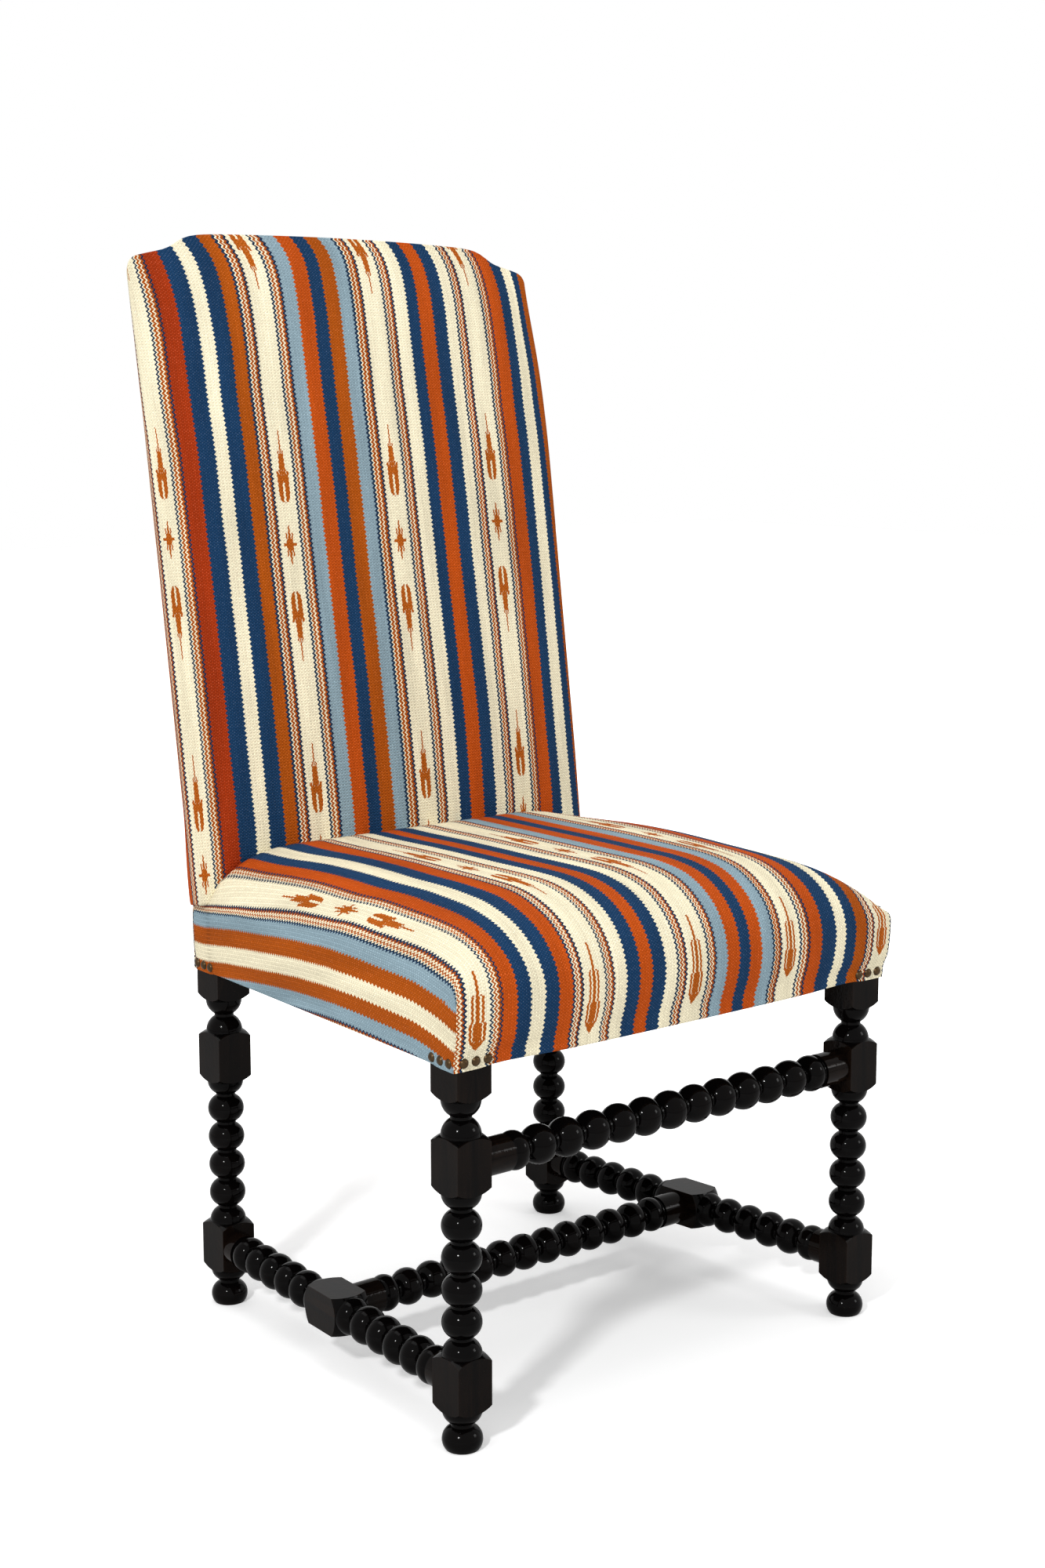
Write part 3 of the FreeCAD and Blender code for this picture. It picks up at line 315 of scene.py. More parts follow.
def lacqueredWood():
    # black lacquer brushed over turned hardwood: wet gloss, faint brush drag, browner where rubbed
    material, tree, shader = newMaterial("blackLacquerOnTurnedWood", "0C0B0A")
    where = objectSpot(tree)
    cloud = noise(tree, where, coat["cloudScale"], 4.0)
    edge = addNode(tree, "NewGeometry").outputs["Pointiness"]
    worn = remap(tree, edge, *coat["rubbedEdges"], 0.0, coat["rubbedShare"])
    base = mixColour(tree, cloud, hexColour(coat["darkest"]), hexColour(coat["clouded"]))
    base = mixColour(tree, calc(tree, "MULTIPLY", worn, cloud), base, hexColour(coat["rubbed"]))
    setInputs(tree, shader, {"Base Color": base, "Specular IOR Level": coat["specular"],
                             "Roughness": remap(tree, cloud, 0.3, 0.7, *coat["roughness"])})
    bumpInto(tree, shader, noise(tree, where, coat["dragScale"]), coat["drag"], 0.5)
    return material


beech = dict(stretch=(8.0, 60.0, 60.0), dark="A9794A", pale="DDB988", roughness=0.75, relief=0.0004)


def sawnTimber():
    # unfinished beech of the hidden frame, its grain drawn out along x
    material, tree, shader = newMaterial("sawnBeech", "C79A68")
    stretched = addNode(tree, "Mapping", {0: objectSpot(tree), 3: beech["stretch"]}).outputs[0]
    grain = noise(tree, stretched, 3.0, 5.0)
    paintBetween(tree, shader, grain, beech["dark"], beech["pale"], Roughness=beech["roughness"])
    bumpInto(tree, shader, grain, beech["relief"])
    return material


def blotchedMetal(name, shown, scale, detail, dark, bright):
    # a metal whose tone goes from dark to bright in small patches
    material, tree, shader = newMaterial(name, shown)
    patches = noise(tree, objectSpot(tree), scale, detail)
    paintBetween(tree, shader, patches, dark, bright, Metallic=1.0)
    return material, tree, shader, patches


nailBrass = dict(scale=420.0, detail=3.0, dark="2A2119", bright="5E4A32")
nailRoughness = (0.28, 0.5)


def antiqueBrass():
    # cast brass nail heads, chemically darkened, lighter where fingers have rubbed the crowns
    material, tree, shader, patches = blotchedMetal("darkenedBrass", "6B5636", **nailBrass)
    tree.links.new(remap(tree, patches, 0.3, 0.7, *nailRoughness), shader.inputs["Roughness"])
    bumpInto(tree, shader, patches, 0.0002)
    return material


screwZinc = dict(scale=300.0, detail=2.0, dark="9EA2A6", bright="C9CCD0")


def zincSteel():
    # bright zinc plating on the screws, slightly clouded
    material, _, shader, _ = blotchedMetal("zincPlatedSteel", "B9BCC0", **screwZinc)
    shader.inputs["Roughness"].default_value = 0.35
    return material


plain = dict(cloudScale=60.0, cloudLift=0.3, roughness=0.9, specular=0.2, relief=0.0004)


def plainWeave(name, dark, pale, pitch):
    # coarse two-way weave that shows its threads, on Object coordinates, pitch in mm
    material, tree, shader = newMaterial(name, pale)
    where = objectSpot(tree)
    axes = addNode(tree, "SeparateXYZ", {0: where})
    perMetre = 2000 * pi / pitch
    warp = calc(tree, "SINE", calc(tree, "MULTIPLY", axes.outputs[0], perMetre))
    upward = calc(tree, "ADD", axes.outputs[1], axes.outputs[2])
    weft = calc(tree, "SINE", calc(tree, "MULTIPLY", upward, perMetre))
    threads = calc(tree, "MULTIPLY_ADD", calc(tree, "MULTIPLY", warp, weft), 0.5, 0.5)
    cloud = noise(tree, where, plain["cloudScale"], 3.0)
    share = calc(tree, "MULTIPLY", threads, calc(tree, "ADD", cloud, plain["cloudLift"]))
    paintBetween(tree, shader, share, dark, pale, Roughness=plain["roughness"])
    shader.inputs["Specular IOR Level"].default_value = plain["specular"]
    bumpInto(tree, shader, threads, plain["relief"])
    return material


fibre = dict(tuftScale=90.0, dark="CFC7B2", pale="F1ECDD", roughness=0.95, relief=0.002)


def fibreFilling():
    # bonded fibre: matt, off-white, tufted
    material, tree, shader = newMaterial("bondedFibreFilling", "E8E2D2")
    tufts = noise(tree, objectSpot(tree), fibre["tuftScale"], 5.0)
    paintBetween(tree, shader, tufts, fibre["dark"], fibre["pale"], Roughness=fibre["roughness"])
    bumpInto(tree, shader, tufts, fibre["relief"])
    return material


lacquer = lacqueredWood()
timber = sawnTimber()
brass = antiqueBrass()
steel = zincSteel()
webbingCloth = plainWeave("jackWovenJute", "7A5C34", "B8935C", 3.0)
hessianCloth = plainWeave("hessianPlainWeave", "8A6B40", "C7A673", 1.8)
dustCloth = plainWeave("blackCalico", "0B0B0B", "1C1B1A", 0.9)
filling = fibreFilling()

for name, thing in parts.items():
    if name.endswith(("_leg_left", "_leg_right")) or "stretcher" in name:
        chosen = lacquer
    elif "nails" in name:
        chosen = brass
    elif "screws" in name:
        chosen = steel
    else:
        chosen = timber
    if not thing.material_slots:
        thing.data.materials.append(chosen)
    for each in thing.material_slots:
        each.material = chosen
print("finishes on the frame")


def place(x, y, z):
    # from mm about the front legs' line into the row frame
    return Vector((x, y + rowShift, z)) * mm


def rollInset(level, reach, fullness):
    # how far in from the rim an edge of that reach has rounded up to level
    return reach * (1 - (1 - level ** fullness) ** (1 / fullness))


def blendLevels(one, other, sharpness=12):
    # a soft minimum of two levels, so that two rolls meet in a rounded corner
    if min(one, other) < 1e-4:
        return 0.0
    return (one ** -sharpness + other ** -sharpness - 1) ** (-1 / sharpness)


def smooth(low, high, value):
    share = min(max((value - low) / (high - low), 0), 1)
    return share * share * (3 - 2 * share)


def between(table, value):
    # straight lines between (value, result) pairs
    if value <= table[0][0]:
        return table[0][1]
    for (a, fromA), (b, toB) in zip(table, table[1:]):
        if value <= b:
            return fromA + (toB - fromA) * (value - a) / (b - a)
    return table[-1][1]


def pulled(piece, u, v):
    # small draws of the cloth: straight lines between the measured stripes
    def drawAt(values):
        return between(list(zip(piece["pullAlong"], values)), v)
    return u + between([(column, drawAt(values)) for column, values in piece["pulls"]], u)


settling = dict(quality=5, stretch=25, bend=2, pressure=4, frames=20)


def settleCloth(piece, held, cap):
    # a short cloth run swells the cover a little on its stuffing; its result becomes the mesh
    piece.vertex_groups.new(name="held").add(held, 1.0, "REPLACE")
    cloth = piece.modifiers.new("settling", "CLOTH")
    rules = cloth.settings
    rules.quality = settling["quality"]
    rules.tension_stiffness = rules.compression_stiffness = settling["stretch"]
    rules.bending_stiffness = settling["bend"]
    rules.vertex_group_mass = "held"
    rules.use_pressure = True
    rules.uniform_pressure_force = settling["pressure"]
    rules.effector_weights.gravity = 0
    cloth.point_cache.frame_start, cloth.point_cache.frame_end = 1, settling["frames"]
    for frameNumber in range(1, settling["frames"] + 1):
        bpy.context.scene.frame_set(frameNumber)
    seen = piece.evaluated_get(bpy.context.evaluated_depsgraph_get())
    moved = [v.co.copy() for v in seen.data.vertices]
    piece.modifiers.remove(cloth)
    for vert, spot in zip(piece.data.vertices, moved):
        step = spot - vert.co
        vert.co += step * min(1, cap * mm / max(step.length, 1e-9))
    piece.vertex_groups.clear()
    bpy.context.scene.frame_set(1)


def pointOut(piece):
    # a shell that was extruded from its rim faces outwards, seen from its own middle
    mesh = piece.data
    middle = sum((Vector(v.co) for v in mesh.vertices), Vector()) / len(mesh.vertices)
    outwards = sum(1 if (f.center - middle).dot(f.normal) > 0 else -1 for f in mesh.polygons)
    if outwards < 0:
        mesh.flip_normals()


def addObject(name, data):
    thing = bpy.data.objects.new(name, data)
    bpy.context.scene.collection.objects.link(thing)
    return thing


def finishPiece(bm, name, material, thickness=0.0, levels=0, rounded=True, held=None, cap=0.0):
    mesh = bpy.data.meshes.new(name)
    bm.normal_update()
    bm.to_mesh(mesh)
    bm.free()
    piece = addObject(name, mesh)
    mesh.materials.append(material)
    for face in mesh.polygons:
        face.use_smooth = rounded
    if held:
        pointOut(piece)
        settleCloth(piece, held, cap)
    if thickness:
        wall = piece.modifiers.new("clothThickness", "SOLIDIFY")
        wall.thickness = thickness * mm
        wall.offset = -1
    if levels:
        soft = piece.modifiers.new("softForm", "SUBSURF")
        soft.levels = soft.render_levels = levels
        soft.uv_smooth = "PRESERVE_BOUNDARIES"
    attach(piece, "root")
    return piece


def finishCover(bm, name, material, shape, free):
    # when the cloth settles, only its free vertices move: not the rim, the rings or the tuck
    bmesh.ops.recalc_face_normals(bm, faces=bm.faces)
    bm.verts.index_update()
    held = [v.index for v in bm.verts if v not in free]
    return finishPiece(bm, name, material, thickness=shape["thickness"], levels=1, held=held,
                       cap=shape["swell"])


def newGrid(nx, ny):
    # a flat grid, and its vertices under their (column, row)
    bm = bmesh.new()
    bmesh.ops.create_grid(bm, x_segments=nx, y_segments=ny, size=1)
    return bm, {(round((v.co.x + 1) / 2 * nx), round((v.co.y + 1) / 2 * ny)): v for v in bm.verts}


def layCloth(bm, spots, clothAt):
    # each grid corner's place on the flat cloth goes into the UV map that the kilim reads
    uv = bm.loops.layers.uv.new("cloth")
    keyOf = {v: k for k, v in spots.items()}
    for face in bm.faces:
        for loop in face.loops:
            u, v = clothAt(keyOf[loop.vert])
            loop[uv].uv = (u * mm, v * mm)
    return uv


def carryRim(bm, current):
    # a new ring of vertices beyond the open rim, under the same grid keys
    keyOf = {v: k for k, v in current.items()}
    rim = [e for e in bm.edges if e.verts[0] in keyOf and e.verts[1] in keyOf and len(e.link_faces) == 1]
    made = bmesh.ops.extrude_edge_only(bm, edges=rim)["geom"]
    following = {}
    for vert in (g for g in made if isinstance(g, bmesh.types.BMVert)):
        near = [e.other_vert(vert) for e in vert.link_edges if e.other_vert(vert) in keyOf]
        following[keyOf[near[0]]] = vert
    return following


def ringCorners(bm, current, following, dropOf, newDrop):
    # for each face corner between two rings: its loop, its face's keys, its own key, the cloth's run to it
    known = {v: (k, newDrop[k]) for k, v in following.items()}
    known.update({v: (k, dropOf[k]) for k, v in current.items()})
    fresh = set(following.values())
    for face in [f for f in bm.faces if any(v in fresh for v in f.verts)]:
        keys = [known[v][0] for v in face.verts]
        for loop in face.loops:
            yield (loop, keys) + known[loop.vert]


# in mm: x from the middle, y from the front legs' line, z from the floor; levels run from rim to crown
seat = dict(
    # heights and the plan's lines
    hem=354.4, hemTop=366.4, widest=414.4, crown=487.0, rearFall=7.0, rearFallSpan=(150, 400),
    frontLine=-21.0, backLine=414.0, rearLine=450.2, halfAtFrontLine=272.41, taper=0.07425,
    # how far front and sides stand out beyond those lines, and less so below the rim
    frontBulge=7.0, frontBow=11.0, frontBowReach=275, sideBulge=2.0, sideBow=4.0, sideBowMiddle=220,
    sideBowReach=250, hemSwell=0.45, hemSwellSpan=(150, 226), ringPower=0.4,
    # the rolls between rim and crown, and the front corners
    sideRoll=105.0, cornerRoll=200.0, cornerReach=(20, 290), sideFullness=2.3, frontRoll=130.0,
    frontFullness=2.15, frontFade=0.6, cornerDepth=0.55, cornerDepthSpan=(110, 270),
    hemCorner=2.0, topCorner=22.0, topCornerLevel=0.45,
    rightDrop=12.0, rightDropAcross=(205, 275), rightDropAlong=(60, 260), rightDropLevel=0.35,
    # tucked down under the back, and turned in below the rails, less so beside the legs
    tuckGap=3, tuckLevels=(0.25, 0.24, 0.23), tuckBelow=0.3,
    hemTurn=[(4, 0), (0.8, 0.4), (0.2, 2.0), (0.2, 9.0)], legTurn=0.4, frontLeg=(226, 24), rearLeg=405,
    # the mesh
    sideSteps=12, middleSteps=14, frontSteps=14, rearSteps=13, lowerSteps=6, thickness=1.6, swell=2.5,
    # how the stripes lie: their lean, the slope of the left rim, and the cloth's small draws
    frontDrop=62.0, lean=35.0, leanStart=-38.0, leanRun=441.0, rollDrift=0.6, seamReach=34.0,
    rimBlend=(0.25, 0.95),
    sideRim=[(-25, -290.5), (-12, -295), (9, -300.5), (38, -305.5), (127, -308.5), (187, -308),
             (247, -304.5), (307, -298), (367, -291.5), (429, -282.5)],
    pullAlong=[30, 50, 70, 90, 130, 160, 190, 250, 310, 370, 430, 490],
    pulls=[(-285, [0] * 12), (-258, [-3, -2, -3, -5, -4.5, -4, -3, 5, 10, 9.5, 9, 9]),
           (-228, [-7.6, -8, -7.8, -8.4, -4.1, -3.6, -2.7, 5.2, 11.4, 12, 14.1, 20.3]),
           (-189, [-7, -6, -5, -3.5, -2.3, -1.5, -2.5, 1.5, 6.5, 6.5, 7, 13]),
           (-160, [-7.2, -4.5, -2.2, -2, -2.8, -3, -5.4, -0.5, 3.5, 2.6, 0.2, -0.1]),
           (-65, [-4.5, 0, 1.7, 1.5, -1.5, -3, -1.5, 2, 7, 4.5, 1, 2.5]),
           (76, [-5.5, 0, 2.5, 1, -3, -6.5, -5, -1.5, 0, -2.5, -7.5, -12]),
           (198, [-4.5, 0, 2.5, 2, 1, 0, -2, -3, -3, -3, -3, -3])])


def halfWidth(y, swell):
    bow = 1 - ((y - seat["sideBowMiddle"]) / seat["sideBowReach"]) ** 2
    bulge = seat["sideBulge"] + seat["sideBow"] * max(bow, 0)
    return seat["halfAtFrontLine"] - seat["taper"] * y + swell * bulge


def frontLine(x, swell):
    bow = 1 - (x / seat["frontBowReach"]) ** 2
    return seat["frontLine"] - swell * (seat["frontBulge"] + seat["frontBow"] * max(bow, 0))


def rollAt(y):
    # the sides roll over more slowly towards the front corners
    return seat["cornerRoll"] + (seat["sideRoll"] - seat["cornerRoll"]) * smooth(*seat["cornerReach"], y)


def seatRows():
    # (front inset or None, level, y on the middle line) of each row, front to back
    rows = []
    for step in range(seat["frontSteps"] + 1):
        level = sin(radians(90) * step / seat["frontSteps"])
        rows.append((rollInset(level, seat["frontRoll"], seat["frontFullness"]), level, None))
    first = frontLine(0, 1) + seat["frontRoll"]
    for step in range(1, seat["rearSteps"] + 1):
        rows.append((None, 1.0, first + (seat["backLine"] - first) * step / seat["rearSteps"]))
    tucked = (seat["backLine"] + seat["tuckGap"], (seat["backLine"] + seat["rearLine"]) / 2,
              seat["rearLine"])
    return rows + [(None, level, y) for level, y in zip(seat["tuckLevels"], tucked)]


def seatColumns():
    # (side, inset or None, share of the flat middle, level) of each column, left to right
    left = []
    for step in range(seat["sideSteps"] + 1):
        level = sin(radians(90) * step / seat["sideSteps"])
        left.append((-1, rollInset(level, seat["sideRoll"], seat["sideFullness"]), None, level))
    middle = [(0, None, -1 + 2 * step / seat["middleSteps"], 1.0) for step in range(1, seat["middleSteps"])]
    right = [(1, inset, None, level) for _, inset, _, level in reversed(left)]
    return left + middle + right


def seatRings():
    # (height, swell, how far turned in) of each ring below the rim
    rings = []
    for step in range(1, seat["lowerSteps"] + 1):
        share = 1 - step / seat["lowerSteps"]
        height = seat["hemTop"] + (seat["widest"] - seat["hemTop"]) * share
        rings.append((height, sin(radians(90) * share) ** seat["ringPower"], 0))
    return rings + [(seat["hem"] + above, 0, inward) for above, inward in seat["hemTurn"]]


def softCorner(x, y, half, front, radius):
    # the square front corners of the plan become round ones
    dx, dy = half - abs(x), y - front
    if dx >= radius or dy >= radius:
        return x, y
    a, b = 1 - dx / radius, 1 - dy / radius
    side = 1 if x > 0 else -1
    roundedX = side * (half - radius * (1 - a * sqrt(1 - b * b / 2)))
    return roundedX, front + radius * (1 - b * sqrt(1 - a * a / 2))


def seatPlan(column, row):
    # x and y of a grid point; the width depends on y and y on the width, so they settle in a few rounds
    side, inset, share, _ = column
    frontInset, _, rowY = row
    middleFront, frontRoll = frontLine(0, 1), seat["frontRoll"]
    first = middleFront + frontRoll
    y = rowY if rowY is not None else middleFront + frontInset
    for _ in range(4):
        half, roll = halfWidth(y, 1), rollAt(y)
        x = share * (half - roll) if inset is None else side * (half - inset * roll / seat["sideRoll"])
        deeper = frontRoll * seat["cornerDepth"] * smooth(*seat["cornerDepthSpan"], abs(x))
        if rowY is None:
            fade = max(0, 1 - frontInset / frontRoll * seat["frontFade"])
            y = middleFront + (frontLine(x, 1) - middleFront) * fade + frontInset
            y += deeper * frontInset / frontRoll
        elif rowY < seat["backLine"]:
            y = rowY + deeper * (seat["backLine"] - rowY) / (seat["backLine"] - first)
    return x, y


def shapeSeatTop(columns, rows, spots):
    # lifts the grid to the stuffed top and returns its plan
    plan = {}
    rise = seat["crown"] - seat["widest"]
    for (i, j), vert in spots.items():
        x, y = plan[i, j] = seatPlan(columns[i], rows[j])
        sideLevel, (_, rowLevel, rowY) = columns[i][3], rows[j]
        if rowLevel < seat["tuckBelow"] and rowY is not None:
            level = min(sideLevel, rowLevel)
        else:
            level = blendLevels(sideLevel, rowLevel)
        level *= 1 - seat["rearFall"] / rise * smooth(*seat["rearFallSpan"], y)
        z = seat["widest"] + rise * level
        # the right front corner is softer than the left one
        z -= (seat["rightDrop"] * smooth(0, seat["rightDropLevel"], level)
              * smooth(*seat["rightDropAcross"], x) * (1 - smooth(*seat["rightDropAlong"], y)))
        rounding = smooth(0, seat["topCornerLevel"], level)
        radius = seat["hemCorner"] + (seat["topCorner"] - seat["hemCorner"]) * rounding
        vert.co = place(*softCorner(x, y, halfWidth(y, 1), frontLine(x, 1), radius), z)
    return plan


def measureSeatCloth(columns, rows, spots, plan):
    # cloth lengths from the middle column outwards, and from the front edge rearwards
    nx, ny = len(columns) - 1, len(rows) - 1
    middle = nx // 2
    across, along = {}, {}
    for j in range(ny + 1):
        share = (plan[middle, j][1] - seat["leanStart"]) / seat["leanRun"]
        lean = seat["lean"] * min(max(share, 0), 1)
        for steps, side in ((range(middle, -1, -1), -1), (range(middle, nx + 1), 1)):
            run = 0.0
            for step in steps:
                if step != middle:
                    run += side * (spots[step, j].co - spots[step - side, j].co).length / mm
                across[step, j] = run - lean
    for i in range(nx + 1):
        run = seat["frontDrop"]
        for j in range(ny + 1):
            if j:
                run += (spots[i, j].co - spots[i, j - 1].co).length / mm
            along[i, j] = run
    for j in range(ny + 1):
        # columns on the side rolls follow the y of the row rather than their own slope
        for i in range(nx + 1):
            drift = (1 - min(columns[i][3], 1)) * seat["rollDrift"]
            along[i, j] += (along[middle, j] - along[i, j]) * drift
    # on the left the stripes keep their own heights along the rim; at the front corner they end in a seam
    rimAt = [between(seat["sideRim"], plan[0, j][1]) for j in range(ny + 1)]
    for j in range(1, ny + 1):
        run = 0.0
        for i in range(seat["sideSteps"]):
            if i:
                run += (spots[i, j].co - spots[i - 1, j].co).length / mm
            tucked = rows[j][1] <= seat["tuckBelow"]
            share = 1 if tucked else 1 - smooth(*seat["rimBlend"], columns[i][3])
            share *= smooth(0, seat["seamReach"], plan[0, j][1] - plan[0, 0][1])
            across[i, j] += (rimAt[j] + run - across[i, j]) * share
    for key in across:
        across[key] = pulled(seat, across[key], along[key])
    return across, along, rimAt


def seatRingSpot(key, planned, ringSwell, inward, last):
    # where a rim point lies in the plan of a lower ring; last is the grid's last (column, row)
    x, y = planned
    swell = ringSwell
    if key[1] == 0:
        swell = max(ringSwell, seat["hemSwell"] * (1 - smooth(*seat["hemSwellSpan"], abs(x))))
    oldFront = frontLine(x, 1)
    x *= halfWidth(y, swell) / halfWidth(y, 1)
    front = frontLine(x, swell)
    y = front + (y - oldFront) * (seat["rearLine"] - front) / (seat["rearLine"] - oldFront)
    legX, legY = seat["frontLeg"]
    besideLeg = (y < legY and abs(x) > legX) or y > seat["rearLeg"]
    inside = min(inward, seat["legTurn"]) if besideLeg else inward
    x, y = softCorner(x, y, halfWidth(y, swell), front, seat["hemCorner"])
    y += {0: inside, last[1]: -inside}.get(key[1], 0)
    if key[0] in (0, last[0]):
        x -= inside if x > 0 else -inside
    return x, y


def makeSeatCover():
    rows, columns = seatRows(), seatColumns()
    nx, ny = len(columns) - 1, len(rows) - 1
    bm, spots = newGrid(nx, ny)
    plan = shapeSeatTop(columns, rows, spots)
    across, along, rimAt = measureSeatCloth(columns, rows, spots, plan)
    uv = layCloth(bm, spots, lambda key: (across[key], along[key]))
    # the rim is carried down ring by ring to the hem and turned under between the legs
    current = {k: v for k, v in spots.items() if k[0] in (0, nx) or k[1] in (0, ny)}
    heightOf = {k: v.co.z / mm for k, v in current.items()}
    dropOf = {k: 0.0 for k in current}
    for height, ringSwell, inward in seatRings():
        following, newDrop = carryRim(bm, current), {}
        for key, vert in following.items():
            x, y = seatRingSpot(key, plan[key], ringSwell, inward, (nx, ny))
            vert.co = place(x, y, min(height, heightOf[key]))
            newDrop[key] = dropOf[key] + (vert.co - current[key].co).length / mm
        for loop, keys, key, drop in ringCorners(bm, current, following, dropOf, newDrop):
            u, v = across[key], along[key]
            if all(k[1] == 0 for k in keys):
                v -= drop
            elif all(k[0] == 0 for k in keys):
                u = rimAt[key[1]] - drop
            elif all(k[0] == nx for k in keys):
                u += drop
            else:
                v += drop
            loop[uv].uv = (u * mm, v * mm)
        current, dropOf = following, newDrop
    free = {spots[i, j] for i in range(2, nx - 1) for j in range(2, ny - 3)}
    return finishCover(bm, "seatUpholstery", seatKilim, seat, free)


# in mm in its own raked frame: x from the middle, height from the middle of the seat rail, depth rearwards
back = dict(
    rake=8.2, originY=438.12, originZ=427.7,
    # the outline, from the foot up to the shoulders, steps and arch
    bottom=-6.0, bottomHalf=255.0, lowHalf=257.5, half=259.5, flare=110.0, shoulder=644.8,
    shoulderRise=6.5, cornerRadius=14.0, notch=217.0, step=206.0, stepRise=5.7, arch=150.0,
    archHeight=671.6, archSag=2.6,
    # the stuffed front: it recedes near the top, and stays in front of the lower rail
    widest=-18.0, crown=19.0, roll=205.0, fullness=1.9, recede=9.0, recedeSpan=(430.0, 640),
    recedeMiddle=0.7, recedeSide=0.3, clearOfRail=-13.8,
    # the border: how far sides and top draw in towards the rear edge
    rear=12.4, lowTaper=10.5, highTaper=17.0, topTaper=11.0, topTaperSpan=(300, 600), taperPower=1.4,
    lastTurn=3.0,
    # the cloth behind, which is the solid's own, drawn in to meet the border; outsideStart in m
    solidTaper=13.0, outsideGap=0.4, outsideFrom=2, outsideStart=0.427,
    # the cover sits a little to the right, and its top corners were pulled to one side
    sideShift=2.5, leftTopShift=-2.5, rightTopShift=-11.0, topShiftSpan=(520, 650),
    # the mesh
    sideSteps=14, middleSteps=10, topSteps=14, lowSteps=22, edgeSteps=5, thickness=1.6, swell=2.0,
    # how the stripes lie: stretch near the edges, lean, and the cloth's small draws
    leftEdge=-239.5, leftStretch=1.5, rightEdge=242.5, rightStretch=1.6,
    lean=[(0, -1), (70, -1), (220, 0), (370, 2.5), (520, 5), (595, 7), (640, 7.5), (680, 8)],
    cornerLean=[(450, 0), (520, 2), (595, 4), (640, 5), (680, 6)],
    pullAlong=[0, 150, 300, 500, 540, 570, 600, 620, 640, 650, 660, 672],
    pulls=[(-217, [1, 1, 0, 0, -2, -4, -3.5, -0.5, 2.5, 6.5, 11.5, 17.5]),
           (-165, [2.5, 2, 2.5, 2.5, -0.5, -1.5, -2, -1.5, 1, 5.5, 10.5, 16.5]),
           (-50, [2.5, 2, 2.5, 2, 0, -2.5, -5, -6.5, -7, -5.5, -2, 6]),
           (0, [1, 0, 1, 1, -2, -4, -7, -8, -8.5, -8, -5, 4]),
           (95, [4, -1.5, 1, 1, -1, -3.5, -7, -9, -9.5, -8, -4.5, 4.5]),
           (215, [4, 2, -0.5, -1, -5, -8.5, -12, -13.5, -12.5, -10.5, -5.5, 1.5])])


def leanBack(x, depth, height):
    # from the back's own frame into the row frame
    rake = radians(back["rake"])
    y = back["originY"] + depth * cos(rake) + height * sin(rake)
    return place(x, y, back["originZ"] - depth * sin(rake) + height * cos(rake))


def backHalf(height):
    if height < back["flare"]:
        share = (height - back["bottom"]) / (back["flare"] - back["bottom"])
        return back["bottomHalf"] + (back["lowHalf"] - back["bottomHalf"]) * max(share, 0)
    share = (height - back["flare"]) / (back["shoulder"] - back["flare"])
    return back["lowHalf"] + (back["half"] - back["lowHalf"]) * min(share, 1)


def taperAt(height):
    # the back narrows towards its rear, less so beside the lower rail
    return back["lowTaper"] + (back["highTaper"] - back["lowTaper"]) * smooth(0, back["flare"], height)


def shiftAt(x, height):
    corner = back["rightTopShift"] if x > 0 else back["leftTopShift"]
    return back["sideShift"] + corner * smooth(*back["topShiftSpan"], height) * (x / back["half"]) ** 2


def backTop(x):
    # height of the outline at a distance from the middle
    x, radius, shoulder = abs(x), back["cornerRadius"], back["shoulder"]
    corner, notch, step, arch = back["half"] - radius, back["notch"], back["step"], back["arch"]
    rise = shoulder + back["shoulderRise"]
    stepTop = rise + back["stepRise"]
    archLow = back["archHeight"] - back["archSag"]
    if x > corner:
        away = min((x - corner) / radius, 1)
        return shoulder - radius * (1 - sqrt(1 - away * away))
    if x > notch:
        return shoulder + back["shoulderRise"] * (corner - x) / (corner - notch)
    if x > step:
        away = (notch - x) / (notch - step)
        return rise + back["stepRise"] * (1 - sqrt(max(1 - away * away, 0)))
    if x > arch:
        away = (x - arch) / (step - arch)
        return stepTop + (archLow - stepTop) * sqrt(max(1 - away * away, 0))
    return back["archHeight"] - back["archSag"] * (x / arch) ** 2


def clothOnBack(x, height):
    # where on the flat cloth a spot of the back lies
    corner = between(back["cornerLean"], height) * (x / back["half"]) ** 2
    u = x + between(back["lean"], height) + corner
    if u < back["leftEdge"]:
        u = back["leftEdge"] + (u - back["leftEdge"]) * back["leftStretch"]
    if u > back["rightEdge"]:
        u = back["rightEdge"] + (u - back["rightEdge"]) * back["rightStretch"]
    return pulled(back, u, height), height


def backColumns():
    # (side, inset from the edge or place on the flat middle, level) of each column, left to right
    left = []
    for step in range(back["sideSteps"] + 1):
        level = sin(radians(90) * step / back["sideSteps"])
        left.append((-1, rollInset(level, back["roll"], back["fullness"]), level))
    flat = back["half"] - back["roll"]
    steps = back["middleSteps"]
    middle = [(0, -flat + 2 * flat * step / steps, 1.0) for step in range(1, steps)]
    return left + middle + [(1, inset, level) for _, inset, level in reversed(left)]


